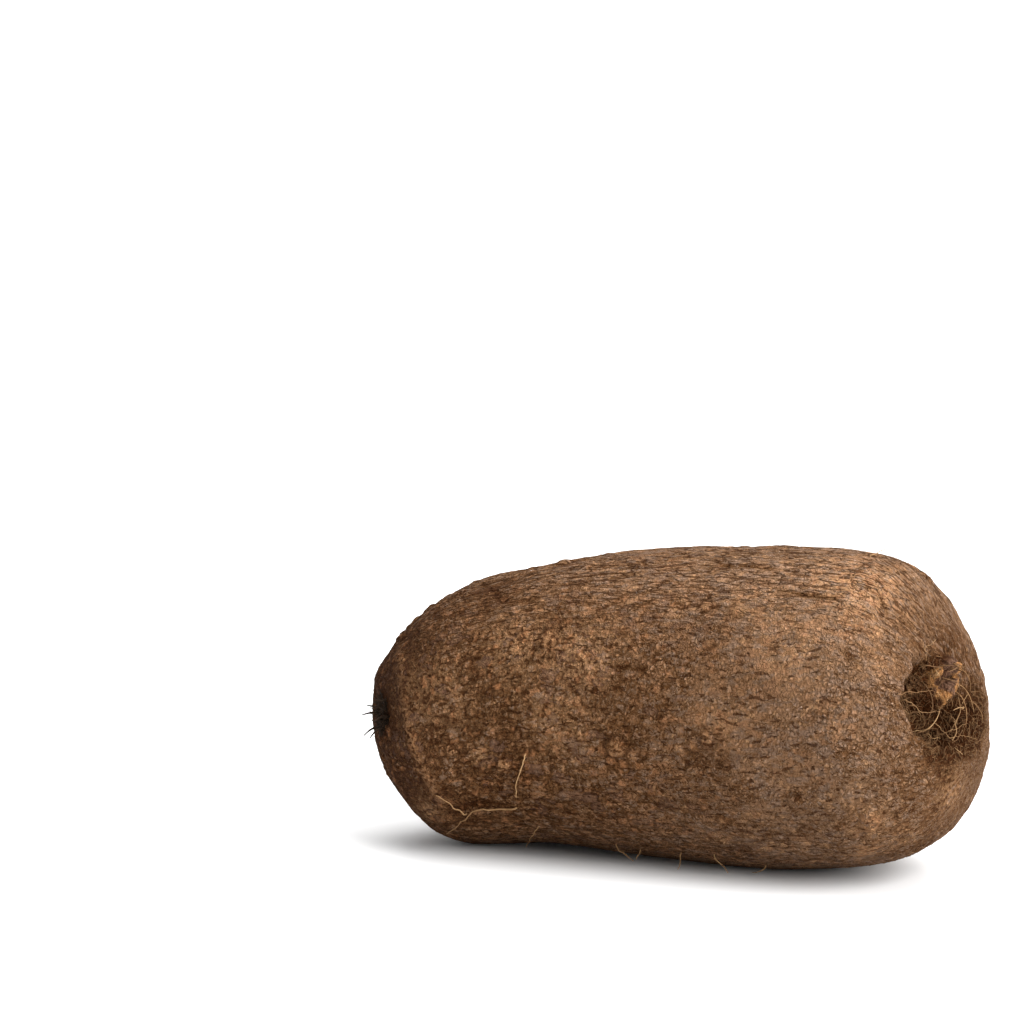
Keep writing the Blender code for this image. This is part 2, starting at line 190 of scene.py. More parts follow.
WARTS = (
    Wart(0.492, 188.0, 0.0042, 0.0017),
    Wart(0.370, 197.0, 0.0038, 0.0014),
    Wart(0.590, 182.0, 0.0034, 0.0013),
    Wart(0.412, 148.0, 0.0044, 0.0014),
    Wart(0.374, 142.0, 0.0026, 0.0012),
    Wart(0.448, 154.0, 0.0032, 0.0013),
    Wart(0.604, 135.0, 0.0032, 0.0011),
    Wart(0.570, 134.0, 0.0026, 0.0010),
    Wart(0.774, 216.0, 0.0046, 0.0012),
)

ROOTLETS = (
    Rootlet(((0.372, 218.0), (0.350, 217.5), (0.331, 217.0), (0.312, 223.0), (0.280, 232.0)), 0.0020, 1.7),
    Rootlet(((0.318, 220.0), (0.313, 216.0), (0.309, 212.5), (0.297, 206.5)), 0.0026, 1.4),
    Rootlet(((0.394, 193.0), (0.390, 198.0), (0.384, 203.5), (0.381, 210.0)), 0.0022, 1.3),
    Rootlet(((0.387, 230.0), (0.378, 234.0), (0.366, 240.0)), 0.0036),
    Rootlet(((0.464, 238.0), (0.473, 239.0), (0.483, 240.0)), 0.0052),
    Rootlet(((0.488, 240.0), (0.486, 241.0), (0.484, 242.0)), 0.0036),
    Rootlet(((0.535, 237.0), (0.535, 238.0), (0.534, 239.0)), 0.0062),
    Rootlet(((0.572, 236.0), (0.579, 238.0), (0.586, 240.0)), 0.0050),
    Rootlet(((0.619, 244.0), (0.611, 245.5), (0.603, 247.0)), 0.0030),
    Rootlet(((0.705, 92.0), (0.711, 88.0), (0.717, 82.0)), 0.0030),
    Rootlet(((0.262, 62.0), (0.244, 58.0), (0.228, 52.0), (0.218, 44.0)), 0.0030),
    Rootlet(((0.455, 40.0), (0.478, 38.0), (0.500, 41.0), (0.518, 47.0)), 0.0028),
    Rootlet(((0.640, 15.0), (0.632, 6.0), (0.620, 359.0), (0.612, 352.0)), 0.0035),
    Rootlet(((0.560, 345.0), (0.540, 342.0), (0.524, 336.0)), 0.0056),
    Rootlet(((0.350, 322.0), (0.358, 331.0), (0.368, 339.0), (0.384, 345.0)), 0.0040),
    Rootlet(((0.800, 330.0), (0.820, 324.0), (0.834, 315.0)), 0.0034),
)

TAIL_RIDGE = ((0.164, 127.0), (0.210, 148.0), (0.246, 178.0), (0.274, 198.0), (0.294, 212.0), (0.300, 236.0))

PATCHES = (
    Patch(Tint.RUBBED, 0.263, 220.0, 0.006, 0.8),
    Patch(Tint.RUBBED, 0.300, 165.0, 0.018, 0.5),
    Patch(Tint.RUBBED, 0.346, 193.0, 0.004, 0.9),
    Patch(Tint.RUBBED, 0.366, 147.0, 0.005, 0.9),
    Patch(Tint.RUBBED, 0.380, 150.0, 0.017, 0.7),
    Patch(Tint.RUBBED, 0.430, 178.0, 0.016, 0.5),
    Patch(Tint.RUBBED, 0.452, 155.0, 0.015, 0.9),
    Patch(Tint.RUBBED, 0.610, 175.0, 0.012, 0.5),
    Patch(Tint.RUBBED, 0.612, 133.0, 0.007, 0.8),
    Patch(Tint.RUBBED, 0.645, 136.0, 0.009, 0.7),
    Patch(Tint.RUBBED, 0.670, 149.0, 0.016, 0.6),
    Patch(Tint.RUBBED, 0.718, 117.0, 0.020, 1.0),
    Patch(Tint.RUBBED, 0.745, 128.0, 0.014, 0.7),
    Patch(Tint.RUBBED, 0.753, 233.0, 0.006, 1.0),
    Patch(Tint.RUBBED, 0.774, 216.0, 0.007, 0.8),
    Patch(Tint.RUBBED, 0.784, 148.0, 0.006, 0.6),
    Patch(Tint.RUBBED, 0.812, 233.0, 0.007, 0.8),
    Patch(Tint.RUBBED, 0.865, 143.5, 0.004, 0.9),
    Patch(Tint.RUBBED, 0.914, 226.0, 0.010, 0.8),
    # The first three dark patches darken the tail end: its own darker bark, and painted shade on the end
    # that turns away from the lamps.
    Patch(Tint.DARK, 0.100, 165.0, 0.046, 1.0),
    Patch(Tint.DARK, 0.190, 128.0, 0.026, 0.8),
    Patch(Tint.DARK, 0.200, 215.0, 0.026, 0.9),
    Patch(Tint.DARK, 0.330, 120.0, 0.016, 0.6),
    Patch(Tint.DARK, 0.412, 146.0, 0.007, 0.8),
    Patch(Tint.DARK, 0.430, 150.0, 0.022, 0.30),
    Patch(Tint.DARK, 0.446, 162.0, 0.008, 0.7),
    Patch(Tint.DARK, 0.470, 168.0, 0.008, 0.4),
    Patch(Tint.DARK, 0.590, 190.0, 0.008, 0.4),
    Patch(Tint.DARK, 0.600, 208.0, 0.016, 0.15),
    Patch(Tint.DARK, 0.820, 200.0, 0.030, 0.20),
    Patch(Tint.DARK, 0.830, 119.0, 0.016, 0.45),
    Patch(Tint.DARK, 0.830, 140.0, 0.020, 0.24),
    Patch(Tint.DARK, 0.870, 232.0, 0.034, 0.50),
    Patch(Tint.DARK, 0.885, 100.0, 0.024, 0.50),
)

LUMPS = (
    Lump(-0.0028, 0.0095, 0.0031, 0.85),
    Lump(-0.0030, 0.0062, 0.0029, 0.80),
    Lump(0.0090, 0.0120, 0.0027, 1.00),
    Lump(0.0086, 0.0087, 0.0027, 0.95),
    Lump(0.0090, 0.0037, 0.0030, 1.00),
    Lump(-0.0012, 0.0022, 0.0026, 0.85),
    Lump(0.0022, -0.0004, 0.0029, 0.90),
)

CRACKS = (
    Crack(((0.302, 104.0), (0.325, 116.0), (0.346, 125.0), (0.366, 128.5), (0.395, 128.5)), 0.0010),
    Crack(((0.372, 218.0), (0.346, 215.0), (0.325, 215.0), (0.304, 221.0)), 0.0012),
    Crack(((0.478, 157.0), (0.500, 158.5), (0.520, 158.0)), 0.0009),
    Crack(((0.640, 125.0), (0.668, 127.5), (0.690, 127.0), (0.712, 129.5)), 0.0009),
    Crack(((0.560, 112.0), (0.590, 111.0), (0.622, 113.0)), 0.0009),
    Crack(((0.735, 118.0), (0.765, 121.0), (0.788, 127.0)), 0.0009),
    Crack(((0.520, 60.0), (0.560, 58.0), (0.604, 61.0), (0.640, 59.0)), 0.0010),
    Crack(((0.330, 20.0), (0.362, 17.0), (0.400, 19.0)), 0.0010),
    Crack(((0.700, 330.0), (0.735, 334.0), (0.760, 331.0)), 0.0010),
)


@dataclass(frozen=True)
class Place:
    """A spot on the plain form with axes of its own.

    Args:
        centre: the spot.
        out: the outward direction.
        sideways: the level direction along the skin.
        up: the direction along the skin that is at right angles to it.
    """

    centre: Vector
    out: Vector
    sideways: Vector
    up: Vector

    def local(self, point: Vector) -> tuple[float, float, float]:
        """How far a point lies sideways, up and out from this place."""
        offset = point - self.centre
        return offset.dot(self.sideways), offset.dot(self.up), offset.dot(self.out)

    def world(self, sideways: float, up: float, out: float) -> Vector:
        """The point that lies so far sideways, up and out from this place."""
        return self.centre + self.sideways * sideways + self.up * up + self.out * out


def ball_direction(along: float, around: float) -> Vector:
    """The direction on the starting ball that stands for a place on the form."""
    level, height = math.sin(math.pi * along), -math.cos(math.pi * along)
    return Vector((level * math.cos(around), level * math.sin(around), height))


def ball_place(direction: Vector) -> tuple[float, float]:
    """The place on the form, along and around, that a direction on the starting ball stands for."""
    along = math.acos(max(-1.0, min(1.0, -direction.z))) / math.pi
    return along, math.atan2(direction.y, direction.x)


def settle(item: bpy.types.Object, material: bpy.types.Material) -> None:
    """Gives a piece its material, its body and its slot, and reports it.

    Args:
        item: the piece.
        material: its finish.
    """
    item.data.materials.clear()
    item.data.materials.append(material)
    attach(item, "root")
    LOG.info("%s: %d faces", item.name, len(item.data.polygons))


@dataclass
class Form:
    """The tuber's form without its bark: rounded ends on a bent row of cross-sections.

    Positions on it are along, from 0 at the tail to 1 at the crown, and around, the angle about X
    from 0 at +Y through 90 degrees at the top to 180 degrees at the front.
    """

    tail_x: float = -0.1205
    crown_x: float = 0.1245
    tail_cap: float = 0.044
    crown_cap: float = 0.047
    tail_roundness: float = 1.9
    crown_roundness: float = 2.1
    section_roundness: float = 2.12
    cap_share: float = 0.30
    crown_spot: tuple[float, float] = (0.912, 137.0)
    tail_spot: tuple[float, float] = (0.145, 177.0)
    crown: Place = field(init=False)
    tail: Place = field(init=False)
    tail_ridge: tuple[Vector, ...] = field(init=False)
    swelling_centres: tuple[Vector, ...] = field(init=False)

    def __post_init__(self) -> None:
        """Finds the places that the relief is measured from."""
        self.crown = self.place_at(*self.crown_spot)
        self.tail = self.place_at(*self.tail_spot)
        self.tail_ridge = tuple(self.place_at(*spot).centre for spot in TAIL_RIDGE)
        self.swelling_centres = tuple(self.place_at(s.along, s.around).centre for s in SWELLINGS)

    def station_at(self, x: float) -> Station:
        """The cross-section at x, on a smooth curve through the stations.

        Args:
            x: the place on the long axis.

        Returns:
            The half sizes and the centre there.
        """
        x = min(STATIONS[-1].x, max(STATIONS[0].x, x))
        left = max(i for i in range(len(STATIONS) - 1) if STATIONS[i].x <= x)
        start, end = STATIONS[left], STATIONS[left + 1]
        before, after = STATIONS[max(0, left - 1)], STATIONS[min(len(STATIONS) - 1, left + 2)]
        gap = end.x - start.x
        t = (x - start.x) / gap
        values = [x]
        for index in range(1, len(start)):
            slope_in = (end[index] - before[index]) / (end.x - before.x) * gap
            slope_out = (after[index] - start[index]) / (after.x - start.x) * gap
            values.append(
                (2 * t**3 - 3 * t**2 + 1) * start[index]
                + (t**3 - 2 * t**2 + t) * slope_in
                + (3 * t**2 - 2 * t**3) * end[index]
                + (t**3 - t**2) * slope_out
            )
        return Station(*values)

    def plain_point(self, along: float, around: float) -> Vector:
        """A point of the plain form.

        Args:
            along: the share of the way from tail to crown.
            around: the angle about X, in radians.

        Returns:
            The point.
        """
        tail_turn = min(1.0, along / self.cap_share) * math.pi / 2
        crown_turn = min(1.0, (1.0 - along) / self.cap_share) * math.pi / 2
        middle = min(1.0, max(0.0, (along - self.cap_share) / (1.0 - 2.0 * self.cap_share)))
        x = (
            self.tail_x
            + self.tail_cap * (1.0 - max(0.0, math.cos(tail_turn)) ** (2.0 / self.tail_roundness))
            + (self.crown_x - self.tail_x - self.tail_cap - self.crown_cap) * middle
            + self.crown_cap * max(0.0, math.cos(crown_turn)) ** (2.0 / self.crown_roundness)
        )
        opening = math.sin(tail_turn) ** (2.0 / self.tail_roundness)
        opening *= math.sin(crown_turn) ** (2.0 / self.crown_roundness)
        section = self.station_at(x)
        across, up = math.cos(around), math.sin(around)
        power = self.section_roundness
        round_off = (abs(across) ** power + abs(up) ** power) ** (-1.0 / power)
        return Vector(
            (
                x,
                section.centre_y + section.half_width * opening * round_off * across,
                section.centre_z + section.half_height * opening * round_off * up,
            )
        )

    def plain_normal(self, along: float, around: float) -> Vector:
        """The plain form's outward direction at a point.

        Args:
            along: the share of the way from tail to crown.
            around: the angle about X, in radians.

        Returns:
            The direction.
        """
        step = 0.004
        if along < step:
            return Vector((-1.0, 0.0, 0.0))
        if along > 1.0 - step:
            return Vector((1.0, 0.0, 0.0))
        lengthwise = self.plain_point(along + step, around) - self.plain_point(along - step, around)
        round_girth = self.plain_point(along, around + step) - self.plain_point(along, around - step)
        return round_girth.cross(lengthwise).normalized()

    def place_at(self, along: float, around_degrees: float) -> Place:
        """A place on the plain form, with its axes.

        Args:
            along: the share of the way from tail to crown.
            around_degrees: the angle about X.

        Returns:
            The place.
        """
        around = math.radians(around_degrees)
        out = self.plain_normal(along, around)
        sideways = UP.cross(out).normalized()
        return Place(self.plain_point(along, around), out, sideways, out.cross(sideways))


@dataclass(frozen=True)
class CrownRelief:
    """The bowl at the crown, the knob in it and the fold that runs out of it."""

    half_width: float = 0.0235
    half_height: float = 0.0212
    depth: float = 0.0135
    steep_wall_foot: float = 0.74
    gentle_wall_foot: float = 0.15
    steep_side_degrees: float = 205.0
    knob_sideways: float = 0.0010
    knob_up: float = 0.0062
    knob_radius: float = 0.0114
    knob_height: float = 0.0112
    knob_dimple: float = 0.0022
    rim_height: float = 0.0012
    rim_raggedness: float = 0.13
    fold_start: tuple[float, float] = (-0.012, -0.0165)
    fold_end: tuple[float, float] = (0.001, -0.036)
    fold_width: float = 0.0038
    fold_depth: float = 0.0034
    reach: float = 0.031
    lobe_size: float = 0.0066
    lobe_height: float = 0.0022
    crumb_height: float = 0.0008
    spill_degrees: float = -72.0
    spill_start: float = 1.04
    spill_end: float = 1.30
    # The scar sits off the knob's middle towards the gentle side, so the knob's other flank keeps its
    # painted shade.
    scar_shift: float = 0.0028
    scar_radius: float = 0.0100
    lump_rise: float = 0.0011
    wrinkle_rate: float = 9.0
    wrinkle_height: float = 0.00055
    # How dark the wrinkles' hollows are painted, as painted shade.
    wrinkle_shade: float = 0.6

    def pit_share(self, sideways: float, up: float) -> float:
        """How deep in the bowl a spot lies.

        Args:
            sideways: the distance sideways from the crown's place.
            up: the distance up from it.

        Returns:
            The share, from 0 on the rim to 1 on the floor.
        """
        facing = math.cos(math.atan2(up, sideways) - math.radians(self.steep_side_degrees))
        steepness = smooth(-1.0, 1.0, facing)
        foot = self.gentle_wall_foot + (self.steep_wall_foot - self.gentle_wall_foot) * steepness
        return 1.0 - smooth(foot, 1.0, self.pit_reach(sideways, up))

    def pit_reach(self, sideways: float, up: float) -> float:
        """The distance from the bowl's middle, in half sizes of the bowl."""
        ragged = 1.0 + self.rim_raggedness * noise.noise(Vector((sideways, up, 0.0)) * 190.0)
        return ragged * math.hypot(sideways / self.half_width, up / self.half_height)

    def fold_share(self, sideways: float, up: float) -> float:
        """How deep in the fold a spot lies.

        Args:
            sideways: the distance sideways from the crown's place.
            up: the distance up from it.

        Returns:
            The share, from 0 outside it to 1 on the fold's line.
        """
        run = (self.fold_end[0] - self.fold_start[0], self.fold_end[1] - self.fold_start[1])
        length = math.hypot(*run)
        offset = (sideways - self.fold_start[0], up - self.fold_start[1])
        share = (offset[0] * run[0] + offset[1] * run[1]) / length**2
        if not 0.0 < share < 1.0:
            return 0.0
        aside = (offset[0] * run[1] - offset[1] * run[0]) / length
        return math.sin(math.pi * share) * bell(aside, self.fold_width)

    def knob_reach(self, sideways: float, up: float) -> float:
        """The distance from the knob's middle, in knob radii."""
        return math.hypot(sideways - self.knob_sideways, up - self.knob_up) / self.knob_radius

    def height(self, sideways: float, up: float) -> float:
        """How far the skin stands out along the crown's axis.

        Args:
            sideways: the distance sideways from the crown's place.
            up: the distance up from it.

        Returns:
            The height, below 0 in the bowl.
        """
        reach = self.pit_reach(sideways, up)
        rim = self.rim_height * smooth(0.85, 1.1, reach) * (1.0 - smooth(1.1, 1.7, reach))
        from_knob = self.knob_reach(sideways, up)
        knob = self.knob_height * (1.0 - smooth(0.5, 1.2, from_knob))
        dimple = self.knob_dimple * (1.0 - smooth(0.0, 0.55, from_knob))
        pit = self.depth * self.pit_share(sideways, up)
        return rim - pit - self.fold_depth * self.fold_share(sideways, up) + knob - dimple

    def lobes(self, point: Vector) -> float:
        """How high on one of the knob's woody lobes a point lies, from 0 in a cleft to 1."""
        nearest = noise.voronoi(point / self.lobe_size + Vector((0.3, 0.1, 0.7)))[0]
        return smooth(0.0, 0.35, nearest[1] - nearest[0])

    def spill(self, sideways: float, up: float) -> float:
        """How far the mat of hairs spreads past the rim on a spot's side, from 0 to 1."""
        facing = math.cos(math.atan2(up, sideways) - math.radians(self.spill_degrees))
        return smooth(-0.1, 0.9, facing)

    def cover(self, sideways: float, up: float) -> float:
        """How thick the mat of hairs is at a spot.

        Args:
            sideways: the distance sideways from the crown's place.
            up: the distance up from it.

        Returns:
            The share, from 0 on the bare skin to 1.
        """
        past_rim = smooth(self.spill_start, self.spill_end, self.pit_reach(sideways, up))
        walls = smooth(0.22, 0.60, self.pit_share(sideways, up))
        return max(walls, self.spill(sideways, up) * (1.0 - past_rim))

    def scar_share(self, sideways: float, up: float) -> float:
        """How far a spot lies on the knob's bare woody scar, from 0 to 1."""
        reach = math.hypot(sideways - self.knob_sideways - self.scar_shift, up - self.knob_up)
        return 1.0 - smooth(0.70, 1.0, reach / self.scar_radius)

    def wrinkles(self, sideways: float, up: float) -> float:
        """How high on a wrinkle round the bowl a spot lies.

        Args:
            sideways: the distance sideways from the crown's place.
            up: the distance up from it.

        Returns:
            The height, from -1 in a hollow to 1 on a wrinkle.
        """
        reach = self.pit_reach(sideways, up)
        turn = math.atan2(up, sideways)
        steep = smooth(-0.2, 1.0, math.cos(turn - math.radians(self.steep_side_degrees)))
        band = smooth(0.50, 0.75, reach) * (1.0 - smooth(1.5, 2.1, reach)) * (1.0 - 0.8 * steep)
        spot = Vector((reach * self.wrinkle_rate, math.cos(turn) * 1.6, math.sin(turn) * 1.6))
        return 2.0 * band * noise.noise(spot)

    def wood(self, sideways: float, up: float) -> float:
        """How bare the wood of the knob's lumps is at a spot.

        Args:
            sideways: the distance sideways from the crown's place.
            up: the distance up from it.

        Returns:
            The share, from 0 off the lumps to 1.
        """
        distances = [math.hypot(sideways - lump.sideways, up - lump.up) for lump in LUMPS]
        return max(lump.bareness * bell(distance, lump.spread) for lump, distance in zip(LUMPS, distances))

    def crumbs(self, point: Vector) -> float:
        """Height of the small crumbs of earth and torn fibre in the bowl."""
        return self.crumb_height * (noise.noise(point * 420.0) + 0.6 * noise.noise(point * 900.0))


@dataclass(frozen=True)
class TailRelief:
    """The sunken scar at the tail and the low rim round it."""

    scar_radius: float = 0.011
    scar_depth: float = 0.0022
    scar_raggedness: float = 0.9
    scar_ragged_rate: float = 260.0
    rim_radius: float = 0.022
    rim_width: float = 0.0045
    rim_height: float = 0.0005
    ridge_width: float = 0.0065
    ridge_height: float = 0.0010
    ridge_crest_width: float = 0.0021
    ridge_crest_height: float = 0.0007

    def height(self, reach: float) -> float:
        """How far the skin stands out at a distance from the tail's place."""
        scar = self.scar_depth * bell(reach, self.scar_radius)
        return self.rim_height * bell(reach - self.rim_radius, self.rim_width) - scar

    def ridge(self, point: Vector, line: Sequence[Vector]) -> tuple[float, float]:
        """The ridge where the side turns into the tail's end.

        Args:
            point: the point of the plain form.
            line: the ridge's points.

        Returns:
            How far the skin stands out there, and how near the ridge's crest it is, from 0 to 1.
        """
        nearest, share = self.ridge_width * 3.0, 0.0
        for number, (start, end) in enumerate(zip(line, line[1:])):
            run = end - start
            part = min(1.0, max(0.0, (point - start).dot(run) / run.length_squared))
            distance = (point - start - run * part).length
            if distance < nearest:
                nearest, share = distance, (number + part) / (len(line) - 1)
        fade = math.sin(math.pi * share)
        crest = fade * bell(nearest, self.ridge_crest_width)
        height = self.ridge_height * fade * bell(nearest, self.ridge_width) + self.ridge_crest_height * crest
        return height, crest


@dataclass(frozen=True)
class BarkRelief:
    """The bark: long ridges, the plates between furrows, and small lumps."""

    ridge_length: float = 0.026
    ridge_width: float = 0.0110
    ridge_height: float = 0.0008
    short_ridge_ratio: float = 2.3
    short_ridge_height: float = 0.0003
    plate_length: float = 0.0070
    plate_width: float = 0.0030
    furrow_share: float = 0.16
    furrow_depth: float = 0.00026
    lump_length: float = 0.0042
    lump_width: float = 0.0023
    lump_height: float = 0.00026
    floor_margin: float = 0.006

    def ridges(self, point: Vector) -> float:
        """Height of the long ridges, which the solid has too.

        Args:
            point: the point of the plain form.

        Returns:
            The height.
        """
        stretched = Vector(
            (point.x / self.ridge_length, point.y / self.ridge_width, point.z / self.ridge_width)
        )
        short_ridges = noise.noise(stretched * self.short_ridge_ratio)
        return self.ridge_height * noise.noise(stretched) + self.short_ridge_height * short_ridges

    def furrow(self, grain: Vector) -> float:
        """How deep in a furrow between two plates a point lies, from 0 to 1.

        Args:
            grain: the point in bark coordinates, along and across the grain.

        Returns:
            The share of the furrow's depth.
        """
        cell = Vector((grain.x / self.plate_length, grain.y / self.plate_width, grain.z / self.plate_width))
        sway = noise.noise_vector(cell * 0.7) * 0.55
        nearest = noise.voronoi(cell + sway)[0]
        patchy = smooth(-0.25, 0.35, noise.noise(grain * 42.0))
        return (1.0 - smooth(0.0, self.furrow_share, nearest[1] - nearest[0])) * patchy

    def lumps(self, grain: Vector) -> float:
        """Height of the small lumps of the plates."""
        cell = Vector((grain.x / self.lump_length, grain.y / self.lump_width, grain.z / self.lump_width))
        return self.lump_height * (noise.noise(cell) + 0.5 * noise.noise(cell * 2.1))


class Channel(Enum):
    """What the skin's mesh knows about each of its points, for the bark's colours."""

    WART_AND_RIDGE_HIGHLIGHT = "wart"
    RUBBED = "rubbed"
    DARK = "dark"
    PAINTED_SHADE_AND_STAIN = "shade"
    SCAR = "scar"
    WOOD = "wood"
    FIBROUS = "fibrous"
    FRECKLED = "freckled"


@dataclass
class Skin:
    """The tuber's skin, as one fine closed mesh. Its rings lie round the bowl at the crown."""

    form: Form = field(default_factory=Form)
    crown: CrownRelief = CrownRelief()
    tail: TailRelief = TailRelief()
    bark: BarkRelief = BarkRelief()
    faces_around: int = 340
    rings: int = 290
    bowl_rings: int = 60
    ring_growth: float = 1.035
    widest_ring: float = 2.6
    grain_length: float = 0.33
    grain_radius: float = 0.056
    grain_core: float = 0.020
    scattered_warts: int = 13
    wart_seed: int = 13
    small_warts: int = 380
    small_wart_seed: int = 21
    crack_depth: float = 0.0007
    crack_parts: int = 12
    crack_sway: float = 0.0011
    crack_sway_rate: float = 160.0
    where: list[tuple[float, float]] = field(default_factory=list)
    channels: dict[Channel, list[float]] = field(default_factory=dict)
    open_cracks: dict[int, float] = field(default_factory=dict)
    item: bpy.types.Object = field(init=False)
    tree: BVHTree = field(init=False)

    def grain_at(self, along: float, around: float, plain: Vector) -> Vector:
        """Bark coordinates: metres along the grain, then two across it that close round the girth.

        Args:
            along: the share of the way from tail to crown.
            around: the angle about X, in radians.
            plain: the point of the plain form there.

        Returns:
            The coordinates.
        """
        section = self.form.station_at(plain.x)
        radius = math.hypot(plain.y - section.centre_y, plain.z - section.centre_z)
        reach = self.grain_radius * min(1.0, radius / self.grain_core)
        return Vector((along * self.grain_length, reach * math.cos(around), reach * math.sin(around)))

    def ring_angles(self) -> list[float]:
        """Where the rings of the starting ball lie: close together in the bowl, and wider apart past it.

        Returns:
            The angle of each ring from the middle of the bowl.
        """
        past_bowl = [max(0, number - self.bowl_rings) for number in range(self.rings)]
        steps = [min(self.ring_growth**number, self.widest_ring) for number in past_bowl]
        total = sum(steps)
        angles = [0.0]
        for step in steps:
            angles.append(angles[-1] + math.pi * step / total)
        return angles

    def build(self) -> None:
        """Makes the skin's mesh, its bark coordinates and its colour channels."""
        bm = bmesh.new()
        bmesh.ops.create_uvsphere(bm, u_segments=self.faces_around, v_segments=self.rings, radius=1.0)
        bm.faces.sort(key=self._face_order)
        self._spread(bm)
        bmesh.ops.recalc_face_normals(bm, faces=bm.faces)
        bm.normal_update()
        plain = [vertex.co.copy() for vertex in bm.verts]
        normals = [vertex.normal.copy() for vertex in bm.verts]
        grains = [self.grain_at(*spot, point) for spot, point in zip(self.where, plain)]
        self.channels = {channel: [0.0] * len(plain) for channel in Channel}
        tree = KDTree(len(plain))
        for index, vertex in enumerate(bm.verts):
            tree.insert(plain[index], index)
            vertex.co += self._rise(index, plain[index], normals[index], grains[index])
        tree.balance()
        self._add_warts(bm, tree, normals)
        self._add_cracks(bm, tree, normals)
        self._add_patches(tree)
        for vertex in bm.verts:
            vertex.co.z = max(vertex.co.z, 0.0)
        mesh = bpy.data.meshes.new("yam_skin")
        bm.to_mesh(mesh)
        bm.free()
        mesh.shade_smooth()
        grain_data = mesh.attributes.new("grain", "FLOAT_VECTOR", "POINT")
        grain_data.data.foreach_set("vector", [value for grain in grains for value in grain])
        for channel, values in self.channels.items():
            mesh.attributes.new(channel.value, "FLOAT", "POINT").data.foreach_set("value", values)
        self.item = bpy.data.objects.new("yam_skin", mesh)
        bpy.context.scene.collection.objects.link(self.item)
        bpy.context.view_layer.update()
        self.tree = BVHTree.FromObject(self.item, bpy.context.evaluated_depsgraph_get())

    def dress(self) -> None:
        """Gives the skin its bark and lets it stand for the solid."""
        settle(self.item, BarkFinish().make())
        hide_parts("yam")

    def _face_order(self, face: bmesh.types.BMFace) -> float:
        """A face's number on the starting ball, by ring and then by turn, the same in every run.

        Args:
            face: a face of the starting ball.

        Returns:
            The number.
        """
        middle = face.calc_center_median()
        half_rings = round(middle.angle(UP) * 2.0 * self.rings / math.pi)
        return half_rings + math.atan2(middle.y, middle.x) / TAU

    def _spread(self, bm: bmesh.types.BMesh) -> None:
        """Moves the points of the starting ball to the plain form and notes their places on it.

        Args:
            bm: the starting ball, with its pole up.
        """
        along, around = self.form.crown_spot
        turn = UP.rotation_difference(ball_direction(along, math.radians(around)))
        angles = self.ring_angles()
        for vertex in bm.verts:
            angle = angles[round(vertex.co.angle(UP) * self.rings / math.pi)]
            turned = math.atan2(vertex.co.y, vertex.co.x)
            level = math.sin(angle)
            direction = turn @ Vector((level * math.cos(turned), level * math.sin(turned), math.cos(angle)))
            self.where.append(ball_place(direction))
            vertex.co = self.form.plain_point(*self.where[-1])

    def _rise(self, index: int, plain: Vector, normal: Vector, grain: Vector) -> Vector:
        """How a point moves from the plain form to the skin. Notes the colours there.

        Args:
            index: the point's number.
            plain: the point on the plain form.
            normal: the plain form's outward direction there.
            grain: its bark coordinates.

        Returns:
            The way from the plain form to the skin.
        """
        along, around = self.where[index]
        turned = math.degrees(around) % 360.0
        height = sum(
            s.height * bell((plain - centre).length, s.spread)
            for s, centre in zip(SWELLINGS, self.form.swelling_centres)
        )
        from_tail = (plain - self.form.tail.centre).length
        ridge, crest = self.tail.ridge(plain, self.form.tail_ridge)
        height += self.tail.height(from_tail) + ridge
        fine = self.bark.lumps(grain) - self.bark.furrow_depth * self.bark.furrow(grain)
        height += (self.bark.ridges(plain) + fine) * smooth(0.0, self.bark.floor_margin, plain.z)
        # The ridge's crest is coloured pale: rubbed skin, and a painted highlight along the ridge.
        self.channels[Channel.WART_AND_RIDGE_HIGHLIGHT][index] = crest
        self.channels[Channel.RUBBED][index] = crest * 0.8
        ragged = 1.0 + self.tail.scar_raggedness * noise.noise(plain * self.tail.scar_ragged_rate)
        self.channels[Channel.PAINTED_SHADE_AND_STAIN][index] = bell(from_tail * ragged, self.tail.scar_radius * 0.75)
        fibrous = max(1.0 - smooth(30.0, 75.0, abs(turned - 85.0)), 0.5 * bell(turned - 236.0, 24.0))
        fibrous *= 1.0 - 0.5 * smooth(0.74, 0.88, along)
        self.channels[Channel.FIBROUS][index] = fibrous
        self.channels[Channel.FRECKLED][index] = (1.0 - smooth(0.35, 0.75, along)) * (1.0 - 0.7 * fibrous)
        sideways, up, out = self.form.crown.local(plain)
        if out < -self.crown.reach:
            return normal * height
        rise = self.crown.height(sideways, up)
        deep = self.crown.pit_share(sideways, up)
        knob = 1.0 - smooth(0.70, 1.10, self.crown.knob_reach(sideways, up))
        lobes = self.crown.lobes(plain)
        rise += self.crown.crumbs(plain) * max(deep, knob) + self.crown.lobe_height * knob * (lobes - 0.6)
        fold = 0.6 * self.crown.fold_share(sideways, up)
        mat = self.crown.cover(sideways, up)
        # The scar is lighter on the knob's lobes and darker in the clefts between them, which is painted
        # shade.
        scar = self.crown.scar_share(sideways, up) * (0.45 + 0.55 * lobes)
        wrinkle = self.crown.wrinkles(sideways, up)
        rise += self.crown.wrinkle_height * wrinkle
        # Painted shade over the bowl's walls, where the dark mat of hairs lies too, over the knob off its
        # bare scar, and in the fold.
        self.channels[Channel.PAINTED_SHADE_AND_STAIN][index] = max(max(mat, knob) * (1.0 - scar), fold)
        # Painted shade in the wrinkles' hollows.
        self.channels[Channel.DARK][index] = min(1.0, max(0.0, -self.crown.wrinkle_shade * wrinkle))
        self.channels[Channel.SCAR][index] = scar
        wood = self.crown.wood(sideways, up)
        rise += self.crown.lump_rise * wood
        self.channels[Channel.WOOD][index] = wood
        self.channels[Channel.FIBROUS][index] *= 1.0 - max(deep, knob)
        return normal * height + self.form.crown.out * rise

